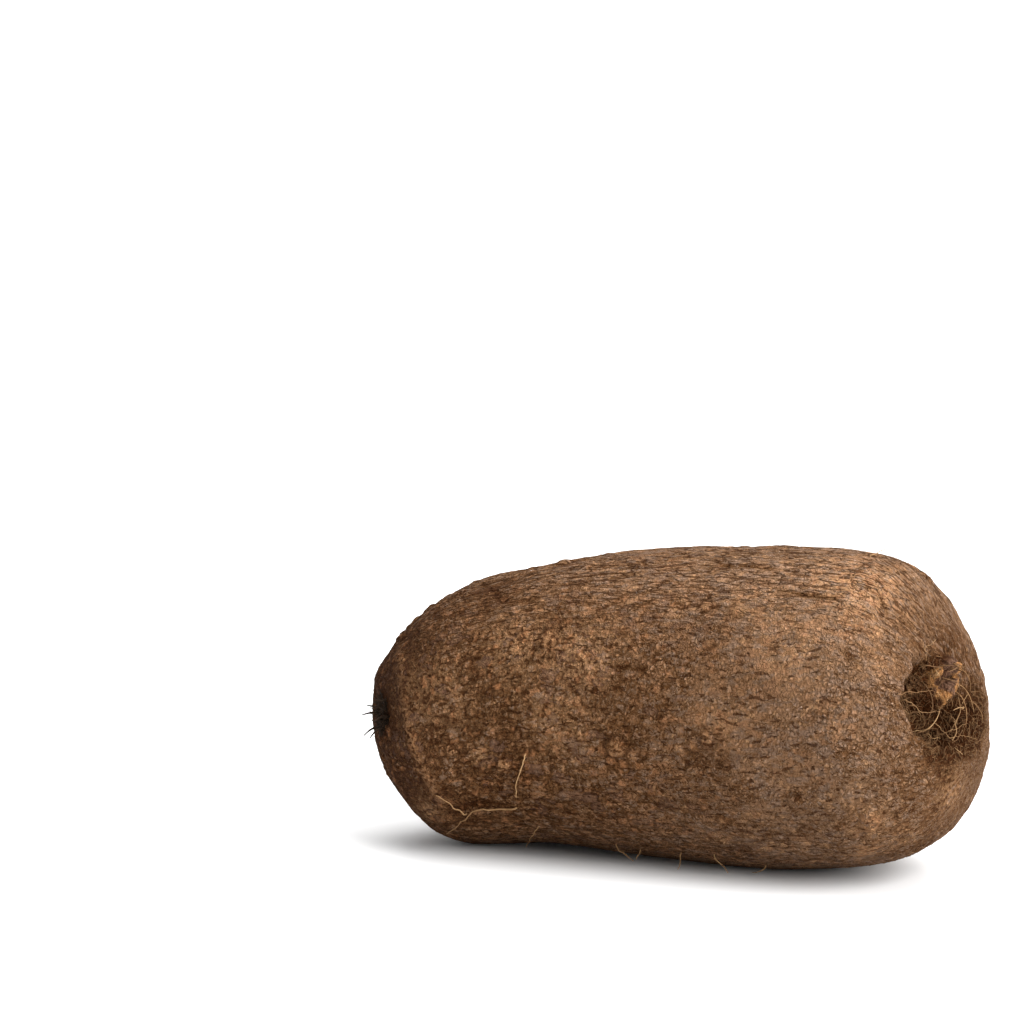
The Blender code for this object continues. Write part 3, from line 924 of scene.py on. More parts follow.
    def _add_warts(self, bm: bmesh.types.BMesh, tree: KDTree, normals: Sequence[Vector]) -> None:
        """Raises the warts, each a rough dome in a shallow moat that is darkened with painted shade.

        Args:
            bm: the skin's mesh.
            tree: the plain form's points.
            normals: the outward directions there.
        """
        bm.verts.ensure_lookup_table()
        for number, wart in enumerate((*WARTS, *self._scattered(), *self._small())):
            centre = self.form.plain_point(wart.along, math.radians(wart.around))
            if centre.z < self.bark.floor_margin * 2.0:
                continue
            if (centre - self.form.crown.centre).length < self.crown.half_height * 1.4:
                continue
            stain = 1.0 if number < len(WARTS) else (number * 0.618 % 1.0) ** 2
            for co, index, distance in tree.find_range(centre, wart.radius * 1.7):
                lumpy = 1.0 + 0.35 * noise.noise((co - centre) / wart.radius * 1.3 + UP * number)
                share = distance / (wart.radius * lumpy)
                dome = max(0.0, 1.0 - share * share)
                moat = bell(share - 1.15, 0.25)
                bm.verts[index].co += normals[index] * wart.height * (1.05 * dome**0.6 - 0.3 * moat)
                self._note(Channel.WART_AND_RIDGE_HIGHLIGHT, index, min(1.0, dome * 1.5) * stain)
                # Painted shade in the moat round the wart.
                self._note(Channel.DARK, index, moat * 0.45)

    def _add_cracks(self, bm: bmesh.types.BMesh, tree: KDTree, normals: Sequence[Vector]) -> None:
        """Opens the long cracks, each a groove darkened with painted shade, with a raised lip below it.

        Args:
            bm: the skin's mesh.
            tree: the plain form's points.
            normals: the outward directions there.
        """
        for crack in CRACKS:
            corners = [self.form.place_at(*spot).centre for spot in crack.path]
            line = flowing(corners, self.crack_parts)
            for number, point in enumerate(line):
                sway = noise.noise_vector(point * self.crack_sway_rate) * self.crack_sway
                open_share = math.sin(math.pi * (number + 1) / (len(line) + 1)) ** 0.5
                for _, index, distance in tree.find_range(point + sway, crack.width * 2.0):
                    share = open_share * bell(distance, crack.width)
                    if share > self.open_cracks.get(index, 0.0):
                        self.open_cracks[index] = share
        for index, share in self.open_cracks.items():
            bm.verts[index].co -= normals[index] * self.crack_depth * share
            # Painted shade in the crack's groove.
            self._note(Channel.PAINTED_SHADE_AND_STAIN, index, 0.85 * share)

    def _scattered(self) -> list[Wart]:
        """The warts that are spread over the whole skin, where the solid has them.

        Returns:
            The warts.
        """
        draw = random.Random(self.wart_seed)
        return [
            Wart(
                0.18 + 0.66 * (number * 0.7549 % 1.0),
                360.0 * (number * 0.5698 % 1.0),
                draw.uniform(0.0020, 0.0036),
                draw.uniform(0.0008, 0.0014),
            )
            for number in range(self.scattered_warts)
        ]

    def _small(self) -> list[Wart]:
        """The many small low warts, most of them on the tail's half.

        Returns:
            The warts.
        """
        draw = random.Random(self.small_wart_seed)
        return [
            Wart(
                0.14 + 0.74 * draw.random() ** 1.5,
                draw.uniform(0.0, 360.0),
                draw.uniform(0.0014, 0.0028),
                draw.uniform(0.00025, 0.00065),
            )
            for _ in range(self.small_warts)
        ]

    def _add_patches(self, tree: KDTree) -> None:
        """Notes the rubbed and dark patches in the colour channels; dark ones at the tail end are painted
        shade as well as stain.

        Args:
            tree: the plain form's points.
        """
        for patch in PATCHES:
            channel = Channel.RUBBED if patch.tint is Tint.RUBBED else Channel.DARK
            centre = self.form.plain_point(patch.along, math.radians(patch.around))
            for _, index, distance in tree.find_range(centre, patch.spread * 2.0):
                self._note(channel, index, patch.strength * bell(distance, patch.spread))

    def _note(self, channel: Channel, index: int, value: float) -> None:
        """Raises a point's value in a channel to at least this one."""
        self.channels[channel][index] = max(self.channels[channel][index], value)


@dataclass
class Strand:
    """A root: the points along its middle, its radius, its tip's share of it and its tone."""

    points: list[Vector]
    radius: float
    tip: float = 0.45
    tone: float = 0.5


@dataclass
class Bundle:
    """Roots with the same number of points, grown together as one mesh of closed tubes."""

    name: str
    strands: list[Strand]
    sides: int = 5
    item: bpy.types.Object = field(init=False)

    def build(self) -> "Bundle":
        """Starts each root as a disc and extrudes all of them step by step.

        Returns:
            The bundle itself.
        """
        bm = bmesh.new()
        tone = bm.verts.layers.float.new("tone")
        number = bm.faces.layers.int.new("number")
        turns: list[Quaternion] = []
        tips: list[bmesh.types.BMFace] = []
        for index, strand in enumerate(self.strands):
            turn = UP.rotation_difference((strand.points[1] - strand.points[0]).normalized())
            place = Matrix.Translation(strand.points[0]) @ turn.to_matrix().to_4x4()
            disc = bmesh.ops.create_circle(
                bm, cap_ends=True, segments=self.sides, radius=strand.radius, matrix=place
            )
            for vertex in disc["verts"]:
                vertex[tone] = strand.tone
            face = disc["verts"][0].link_faces[0]
            face[number] = index
            turns.append(turn)
            tips.append(face)
        steps = len(self.strands[0].points) - 1
        for step in range(1, steps + 1):
            tips = bmesh.ops.extrude_discrete_faces(bm, faces=tips)["faces"]
            for face in tips:
                self._move_tip(face, face[number], step, steps, turns)
        bmesh.ops.holes_fill(bm, edges=[edge for edge in bm.edges if edge.is_boundary], sides=0)
        bmesh.ops.recalc_face_normals(bm, faces=bm.faces)
        mesh = bpy.data.meshes.new(self.name)
        bm.to_mesh(mesh)
        bm.free()
        mesh.shade_smooth()
        self.item = bpy.data.objects.new(self.name, mesh)
        bpy.context.scene.collection.objects.link(self.item)
        return self

    def _move_tip(
        self, face: bmesh.types.BMFace, index: int, step: int, steps: int, turns: list[Quaternion]
    ) -> None:
        """Moves a root's end face on to its next point.

        Args:
            face: the end face, still at the point before.
            index: the root's number.
            step: the number of the next point.
            steps: how many points there are after the first.
            turns: how each root's end is turned, which is brought up to date.
        """
        strand = self.strands[index]
        start, end = strand.points[step - 1], strand.points[step]
        ahead = strand.points[min(step + 1, steps)] - start
        turn = (turns[index] @ UP).rotation_difference(ahead.normalized())
        turns[index] = turn @ turns[index]
        was = 1.0 - (1.0 - strand.tip) * (step - 1) / steps
        now = 1.0 - (1.0 - strand.tip) * step / steps
        for vertex in face.verts:
            vertex.co = end + turn @ (vertex.co - start) * (now / was)


def flowing(points: Sequence[Vector], parts: int) -> list[Vector]:
    """A smooth line through points.

    Args:
        points: the points that it passes.
        parts: how many pieces each stretch between two points is cut into.

    Returns:
        The points of the smooth line.
    """
    line = [points[0].copy()]
    for index in range(len(points) - 1):
        before = points[max(0, index - 1)]
        start, end = points[index], points[index + 1]
        after = points[min(len(points) - 1, index + 2)]
        for part in range(1, parts + 1):
            t = part / parts
            line.append(
                0.5
                * (
                    2.0 * start
                    + (end - before) * t
                    + (2.0 * before - 5.0 * start + 4.0 * end - after) * t**2
                    + (3.0 * start - before - 3.0 * end + after) * t**3
                )
            )
    return line


def wiry(
    skin: Skin, foot: Vector, normal: Vector, flat: Vector, length: float, draw: random.Random
) -> list[Vector]:
    """The points of a kinked hair that leaves the skin and lies over.

    Args:
        skin: the skin that it grows from and lies on.
        foot: where it leaves the skin.
        normal: the skin's outward direction there.
        flat: the direction that it lies over in.
        length: its length.
        draw: the source of its variety.

    Returns:
        The points, from below the skin to the tip.
    """
    clearance, ceiling, steps = 0.0003, 0.0040, 6
    points = [foot - normal * 0.0008]
    heading = (normal * draw.uniform(0.35, 0.9) + flat * 0.8).normalized()
    here = foot.copy()
    for _ in range(steps):
        kink = Vector([draw.uniform(-1.0, 1.0) for _ in range(3)]) * 0.42
        heading = (heading + kink + flat * 0.12 - normal * 0.05).normalized()
        here = here + heading * length / steps
        nearest, facing, _, _ = skin.tree.find_nearest(here)
        height = (here - nearest).dot(facing)
        if height < clearance:
            here = nearest + facing * clearance
        elif height > ceiling:
            here = here - facing * (height - ceiling) * 0.6
        points.append(here.copy())
    return points


class Growth(NamedTuple):
    """A kind of hair in the bowl: how many, where, and the ranges of its length, radius and tone."""

    count: int
    inner: float
    outer: float
    lengths: tuple[float, float]
    radii: tuple[float, float]
    tones: tuple[float, float]


HAIRS = (
    Growth(14, 0.55, 1.05, (0.0040, 0.0070), (0.00014, 0.00020), (0.65, 0.9)),
    Growth(1100, 0.10, 1.02, (0.0022, 0.0050), (0.00012, 0.00020), (0.00, 0.38)),
    Growth(800, 1.00, 1.32, (0.0015, 0.0034), (0.00010, 0.00018), (0.05, 0.45)),
)

SPRAYS = (
    (
        (-0.0245, 0.0050, -0.0050),
        (-0.0195, 0.0050, -0.0040),
        (-0.0120, 0.0040, -0.0040),
        (-0.0065, 0.0040, -0.0035),
        (-0.0045, 0.0015, -0.0040),
        (-0.0030, -0.0015, -0.0050),
    ),
    (
        (-0.0200, 0.0025, -0.0060),
        (-0.0160, -0.0005, -0.0055),
        (-0.0105, -0.0035, -0.0060),
        (-0.0020, -0.0040, -0.0060),
    ),
    (
        (0.0005, -0.0085, -0.0100),
        (0.0020, -0.0110, -0.0090),
        (0.0020, -0.0135, -0.0070),
        (0.0025, -0.0160, -0.0050),
    ),
    (
        (0.0030, -0.0145, -0.0060),
        (0.0055, -0.0145, -0.0040),
        (0.0090, -0.0155, -0.0030),
        (0.0130, -0.0175, -0.0020),
    ),
    (
        (-0.0065, 0.0210, -0.0040),
        (-0.0060, 0.0180, -0.0030),
        (-0.0065, 0.0150, -0.0035),
    ),
    (
        (-0.0070, -0.0115, -0.0085),
        (-0.0070, -0.0135, -0.0065),
        (-0.0050, -0.0135, -0.0055),
    ),
    (
        (-0.0160, 0.0000, -0.0060),
        (-0.0130, -0.0030, -0.0065),
        (-0.0100, -0.0060, -0.0085),
    ),
    (
        (0.0025, 0.0220, -0.0040),
        (-0.0045, 0.0200, -0.0030),
        (-0.0070, 0.0190, -0.0045),
    ),
    (
        (0.0030, -0.0125, -0.0090),
        (0.0035, -0.0120, -0.0065),
        (0.0075, -0.0115, -0.0050),
        (0.0110, -0.0105, -0.0045),
    ),
)


@dataclass
class CrownRoots:
    """The tuft in the crown's bowl: strong roots where the solid has them, and finer hairs."""

    skin: Skin
    seed: int = 11
    hair_seed: int = 22
    count: int = 34
    steps: int = 4
    sink: float = 0.0030
    radius: float = 0.00026
    spray_radius: float = 0.00016
    spray_kink: float = 0.00036
    spray_seed: int = 40
    above: float = 0.04
    strong: Bundle = field(init=False)
    fine: Bundle = field(init=False)
    sprays: list[Bundle] = field(default_factory=list)

    def build(self) -> None:
        """Makes the strong roots and the hairs."""
        self.strong = Bundle("yam_crown_roots", self._strong_roots(), 6).build()
        self.fine = Bundle("yam_crown_hairs", self._hairs(), 4).build()
        strands = [self._spray(number, line) for number, line in enumerate(SPRAYS)]
        for size in sorted({len(strand.points) for strand in strands}):
            same = [strand for strand in strands if len(strand.points) == size]
            self.sprays.append(Bundle(f"yam_crown_sprays_{size}", same, 6).build())

    def dress(self, finish: bpy.types.Material) -> None:
        """Gives the roots and hairs their finish."""
        for bundle in (self.strong, self.fine, *self.sprays):
            settle(bundle.item, finish)

    def _spray(self, number: int, line: Sequence[tuple[float, float, float]]) -> Strand:
        """One of the pale roots that lie over the mat.

        Args:
            number: its number, which sets its tone and kinks.
            line: its points, sideways, up and out from the crown's place.

        Returns:
            The root.
        """
        draw = random.Random(self.spray_seed + number)
        points = [self.skin.form.crown.world(*spot) for spot in line]
        points.insert(0, points[0] - self.skin.form.crown.out * self.sink)
        smooth_line = flowing(points, 4)
        for point in smooth_line[5:]:
            point += Vector([draw.uniform(-1.0, 1.0) for _ in range(3)]) * self.spray_kink
        return Strand(smooth_line, self.spray_radius, 0.4, draw.uniform(0.42, 0.75))

    def _strong_roots(self) -> list[Strand]:
        """The strong roots of the bowl, which rise off its floor and bend over.

        Returns:
            The roots.
        """
        draw = random.Random(self.seed)
        crown, bowl = self.skin.form.crown, self.skin.crown
        strands = []
        for number in range(self.count):
            turn = TAU * (number * 0.618 % 1.0)
            reach = draw.uniform(0.62, 1.0)
            foot_sideways = bowl.half_width * 0.72 * reach * math.cos(turn)
            foot_up = bowl.half_height * 0.72 * reach * math.sin(turn)
            above = crown.world(foot_sideways, foot_up, self.above)
            foot, normal, _, _ = self.skin.tree.ray_cast(above, -crown.out)
            lean = turn + draw.uniform(1.2, 2.8) * draw.choice((-1.0, 1.0))
            lean_way = crown.sideways * math.cos(lean) + crown.up * math.sin(lean)
            drift = lean_way * draw.uniform(0.008, 0.015)
            rise = draw.uniform(0.0030, 0.0065)
            points = [foot - normal * self.sink]
            for step in range(1, self.steps + 1):
                share = step / self.steps
                wander = Vector([draw.uniform(-1.0, 1.0) for _ in range(3)]) * 0.0007
                lift = crown.out * rise * math.sin(share * math.pi * 0.7)
                points.append(foot + lift + drift * share**1.4 + wander * share)
            radius = self.radius * draw.uniform(0.85, 1.15)
            tone = 0.15 + 0.80 * (number * 0.37 % 1.0) ** 4
            strands.append(Strand(flowing(points, 3), radius, 0.45, tone))
        return strands

    def _hairs(self) -> list[Strand]:
        """The fine hairs of the bowl: long pale ones, a dark mat, and short ones on the rim.

        Returns:
            The hairs.
        """
        draw = random.Random(self.hair_seed)
        crown, bowl = self.skin.form.crown, self.skin.crown
        strands = []
        for growth in HAIRS:
            for _ in range(growth.count):
                turn = draw.uniform(0.0, TAU)
                reach = math.sqrt(draw.uniform(growth.inner**2, growth.outer**2))
                sideways = bowl.half_width * reach * math.cos(turn)
                up = bowl.half_height * reach * math.sin(turn)
                if bowl.scar_share(sideways, up) > 0.4 and draw.random() < 0.97:
                    continue
                if draw.random() > bowl.cover(sideways, up) * 1.2:
                    continue
                above = crown.world(sideways, up, self.above)
                foot, normal, _, _ = self.skin.tree.ray_cast(above, -crown.out)
                inward = draw.random() < 0.6
                heading = turn + math.pi + draw.uniform(-1.1, 1.1) if inward else draw.uniform(0.0, TAU)
                flat = crown.sideways * math.cos(heading) + crown.up * math.sin(heading)
                points = wiry(self.skin, foot, normal, flat, draw.uniform(*growth.lengths), draw)
                strands.append(Strand(points, draw.uniform(*growth.radii), 0.4, draw.uniform(*growth.tones)))
        return strands


@dataclass
class SkinRoots:
    """The single roots that lie along the skin, where the solid has them."""

    skin: Skin
    sink: float = 0.0030
    solid_radius: float = 0.00040
    radius: float = 0.00027
    floor_clearance: float = 0.0012
    kink: float = 0.0009
    kink_rate: float = 330.0
    bundles: list[Bundle] = field(default_factory=list)

    def build(self) -> None:
        """Makes the roots, those with the same number of points together."""
        strands = [self._strand(number, root) for number, root in enumerate(ROOTLETS)]
        for size in sorted({len(strand.points) for strand in strands}):
            same = [strand for strand in strands if len(strand.points) == size]
            self.bundles.append(Bundle(f"yam_skin_roots_{size}", same, 8).build())

    def dress(self, finish: bpy.types.Material) -> None:
        """Gives the roots their finish."""
        for bundle in self.bundles:
            settle(bundle.item, finish)

    def _strand(self, number: int, root: Rootlet) -> Strand:
        """One root: it leaves the skin and then follows it at a small height.

        Args:
            number: its number, which sets its tone.
            root: its points and height.

        Returns:
            The root.
        """
        low = self.solid_radius * 1.6
        points: list[Vector] = []
        for index, (along, around_degrees) in enumerate(root.path):
            around = math.radians(around_degrees)
            normal = self.skin.form.plain_normal(along, around)
            above = self.skin.form.plain_point(along, around) + normal * 0.01
            on_skin, _, _, _ = self.skin.tree.ray_cast(above, -normal)
            share = index / (len(root.path) - 1)
            point = on_skin + normal * (low + (root.stand - low) * share)
            point.z = max(point.z, self.floor_clearance)
            if not points:
                points.append(point - normal * (self.sink + low))
            points.append(point)
        line = flowing(points, 4)
        for point in line[5:]:
            point += noise.noise_vector(point * self.kink_rate) * self.kink
        return Strand(line, self.radius * root.thickness, 0.4, 0.62 + 0.30 * (number * 0.37 % 1.0))


@dataclass
class TailRoots:
    """The short stiff stubs round the tail's scar, where the solid has them, and dark hairs."""

    skin: Skin
    seed: int = 12
    hair_seed: int = 23
    count: int = 6
    sink: float = 0.0030
    radius: float = 0.00062
    hair_count: int = 150
    stubs: Bundle = field(init=False)
    hairs: Bundle = field(init=False)

    def build(self) -> None:
        """Makes the stubs and the hairs."""
        self.stubs = Bundle("yam_tail_stubs", self._stubs(), 8).build()
        self.hairs = Bundle("yam_tail_hairs", self._hairs(), 4).build()

    def dress(self, finish: bpy.types.Material) -> None:
        """Gives the stubs and hairs their finish."""
        settle(self.stubs.item, finish)
        settle(self.hairs.item, finish)

    def _foot(self, turn: float, spread: float) -> tuple[Vector, Vector]:
        """Where a stub or hair leaves the skin.

        Args:
            turn: the angle about the tail's axis.
            spread: the distance from the scar's middle.

        Returns:
            The skin's point there, and its outward direction.
        """
        tail = self.skin.form.tail
        above = tail.world(spread * math.cos(turn), spread * math.sin(turn), 0.02)
        foot, normal, _, _ = self.skin.tree.ray_cast(above, -tail.out)
        return foot, normal

    def _stubs(self) -> list[Strand]:
        """The stubs, which splay out round the scar.

        Returns:
            The stubs.
        """
        draw = random.Random(self.seed)
        tail, relief = self.skin.form.tail, self.skin.tail
        strands = []
        for number in range(self.count):
            turn = TAU * number / self.count
            foot, normal = self._foot(turn, draw.uniform(0.25, 0.75) * relief.scar_radius)
            splay = (tail.sideways * math.cos(turn) + tail.up * math.sin(turn)) * 0.4
            length = draw.uniform(0.0045, 0.0075)
            points = [foot - normal * self.sink]
            for share in (0.35, 0.7, 1.0):
                points.append(foot + (tail.out + splay * share - UP * 0.2 * share * share) * length * share)
            strands.append(Strand(flowing(points, 3), self.radius, 0.3, 0.1))
        return strands

    def _hairs(self) -> list[Strand]:
        """The dark broken hairs between the stubs.

        Returns:
            The hairs.
        """
        draw = random.Random(self.hair_seed)
        tail, relief = self.skin.form.tail, self.skin.tail
        strands = []
        for _ in range(self.hair_count):
            turn = draw.uniform(0.0, TAU)
            foot, normal = self._foot(turn, relief.scar_radius * 0.55 * math.sqrt(draw.random()))
            flat = (tail.sideways * math.cos(turn) + tail.up * math.sin(turn)) * 0.5
            points = wiry(self.skin, foot, normal, flat, draw.uniform(0.0020, 0.0045), draw)
            strands.append(Strand(points, draw.uniform(0.00020, 0.00040), 0.4, draw.uniform(0.0, 0.25)))
        return strands


class Wire:
    """A node's output socket that takes part in sums. Values only."""

    def __init__(self, sheet: "Sheet", socket: bpy.types.NodeSocket) -> None:
        """Keeps the socket and the node sheet it is on."""
        self.sheet = sheet
        self.socket = socket

    def _sum(self, operation: str, first: "Wire | float", second: "Wire | float") -> "Wire":
        """Adds the Math node for one operation."""
        node = self.sheet.add("ShaderNodeMath", {"operation": operation}, {0: first, 1: second})
        return Wire(self.sheet, node.outputs[0])

    def __add__(self, other: "Wire | float") -> "Wire":
        """This plus other."""
        return self._sum("ADD", self, other)

    __radd__ = __add__

    def __sub__(self, other: "Wire | float") -> "Wire":
        """This less other."""
        return self._sum("SUBTRACT", self, other)

    def __rsub__(self, other: float) -> "Wire":
        """Other less this."""
        return self._sum("SUBTRACT", other, self)

    def __mul__(self, other: "Wire | float") -> "Wire":
        """This times other."""
        return self._sum("MULTIPLY", self, other)

    __rmul__ = __mul__

    def most(self, other: "Wire | float") -> "Wire":
        """The greater of this and other."""
        return self._sum("MAXIMUM", self, other)

    def step(self, low: float, high: float) -> "Wire":
        """Runs from 0 at low to 1 at high with a soft start and end, and stays there.

        Args:
            low: where the step starts.
            high: where it ends.

        Returns:
            The share, from 0 to 1.
        """
        settings = {"interpolation_type": "SMOOTHSTEP", "clamp": True}
        inputs = {"Value": self, "From Min": low, "From Max": high}
        node = self.sheet.add("ShaderNodeMapRange", settings, inputs)
        return Wire(self.sheet, node.outputs["Result"])


class Sheet:
    """The node sheet of one material."""

    def __init__(self, name: str) -> None:
        """Makes the material with a plain Principled shader.

        Args:
            name: the material's name.
        """
        self.material = bpy.data.materials.new(name)
        self.material.use_nodes = True
        self.nodes = self.material.node_tree.nodes
        self.links = self.material.node_tree.links
        self.shader = self.nodes["Principled BSDF"]

    def add(
        self, kind: str, settings: dict[str, Any] | None = None, inputs: dict[int | str, Any] | None = None
    ) -> bpy.types.Node:
        """Adds a node.

        Args:
            kind: the node's type.
            settings: its own settings, set first. A ramp takes its stops as "stops".
            inputs: values, wires or sockets for its input sockets, by name or number.

        Returns:
            The node.
        """
        node = self.nodes.new(kind)
        for name, value in (settings or {}).items():
            if name == "stops":
                self._set_stops(node.color_ramp, value)
            else:
                setattr(node, name, value)
        for name, value in (inputs or {}).items():
            self.feed(node.inputs[name], value)
        return node

    @staticmethod
    def _set_stops(ramp: bpy.types.ColorRamp, stops: Sequence[tuple[float, Sequence[float]]]) -> None:
        """Puts a ramp's stops where they are asked for.

        Args:
            ramp: the node's colour ramp.
            stops: the place and the colour of each stop.
        """
        while len(ramp.elements) < len(stops):
            ramp.elements.new(0.5)
        for element, (position, colour) in zip(ramp.elements, stops):
            element.position = position
            element.color = (*colour, 1.0)

    def feed(self, socket: bpy.types.NodeSocket, value: Any) -> None:
        """Sets an input socket, or links it.

        Args:
            socket: the input socket.
            value: a plain value, or the wire or output socket that it takes its value from.
        """
        if isinstance(value, Wire):
            self.links.new(value.socket, socket)
        elif isinstance(value, bpy.types.NodeSocket):
            self.links.new(value, socket)
        else:
            socket.default_value = value

    def channel(self, name: str) -> Wire:
        """A value that the mesh holds for each of its points."""
        node = self.add("ShaderNodeAttribute", {"attribute_name": name})
        return Wire(self, node.outputs["Fac"])

    def grain(self, length: float, width: float) -> bpy.types.NodeSocket:
        """Bark coordinates counted in cells.

        Args:
            length: a cell's length along the grain, in metres.
            width: its width across the grain, in metres.

        Returns:
            The coordinates' socket.
        """
        node = self.add("ShaderNodeAttribute", {"attribute_name": "grain"})
        scale = (1.0 / length, 1.0 / width, 1.0 / width)
        cells = self.add(
            "ShaderNodeVectorMath", {"operation": "MULTIPLY"}, {0: node.outputs["Vector"], 1: scale}
        )
        return cells.outputs[0]

    def objects(self, size: float) -> bpy.types.NodeSocket:
        """Object coordinates counted in cells.

        Args:
            size: a cell's size, in metres.

        Returns:
            The coordinates' socket.
        """
        node = self.add("ShaderNodeTexCoord")
        cells = self.add(
            "ShaderNodeVectorMath", {"operation": "SCALE"}, {0: node.outputs["Object"], "Scale": 1.0 / size}
        )
        return cells.outputs[0]

    def cloud(self, place: bpy.types.NodeSocket, detail: float = 3.0, rough: float = 0.55) -> Wire:
        """Soft noise from 0 to 1."""
        inputs = {"Vector": place, "Scale": 1.0, "Detail": detail, "Roughness": rough}
        return Wire(self, self.add("ShaderNodeTexNoise", {}, inputs).outputs["Fac"])

    def swayed(self, place: bpy.types.NodeSocket, amount: float) -> bpy.types.NodeSocket:
        """Coordinates pushed about by noise, so that cells have uneven edges.

        Args:
            place: the coordinates, counted in cells.
            amount: how far they are pushed, in cells.

        Returns:
            The pushed coordinates' socket.
        """
        push = self.add("ShaderNodeTexNoise", {}, {"Vector": place, "Scale": 1.3, "Detail": 2.0})
        centred = self.add(
            "ShaderNodeVectorMath", {"operation": "SUBTRACT"}, {0: push.outputs["Color"], 1: (0.5, 0.5, 0.5)}
        )
        scaled = self.add(
            "ShaderNodeVectorMath", {"operation": "SCALE"}, {0: centred.outputs[0], "Scale": amount}
        )
        return self.add(
            "ShaderNodeVectorMath", {"operation": "ADD"}, {0: place, 1: scaled.outputs[0]}
        ).outputs[0]

    def cell_edge(self, place: bpy.types.NodeSocket) -> Wire:
        """The distance to the nearest edge between two cells.

        Args:
            place: the coordinates, counted in cells.

        Returns:
            The distance, in cells.
        """
        cells = {"Vector": place, "Scale": 1.0}
        node = self.add("ShaderNodeTexVoronoi", {"feature": "DISTANCE_TO_EDGE"}, cells)
        return Wire(self, node.outputs["Distance"])

    def cell_tones(self, place: bpy.types.NodeSocket) -> tuple[Wire, Wire]:
        """Gives each cell two random values.

        Args:
            place: the coordinates, counted in cells.

        Returns:
            The two values, from 0 to 1.
        """
        node = self.add("ShaderNodeTexVoronoi", {"feature": "F1"}, {"Vector": place, "Scale": 1.0})
        parts = self.add("ShaderNodeSeparateColor", {}, {0: node.outputs["Color"]})
        return Wire(self, parts.outputs[0]), Wire(self, parts.outputs[1])

    def blend(self, share: Wire | float, first: Any, second: Any) -> bpy.types.NodeSocket:
        """Mixes two colours.

        Args:
            share: how much of the second one there is.
            first: a colour or a colour socket.
            second: a colour or a colour socket.

        Returns:
            The mixed colour's socket.
        """
        node = self.add("ShaderNodeMix", {"data_type": "RGBA"})
        self.feed(node.inputs["Factor"], share)
        colours = [socket for socket in node.inputs if socket.type == "RGBA"]
        for socket, value in zip(colours, (first, second)):
            self.feed(socket, (*value, 1.0) if isinstance(value, tuple) else value)
        return next(socket for socket in node.outputs if socket.type == "RGBA")


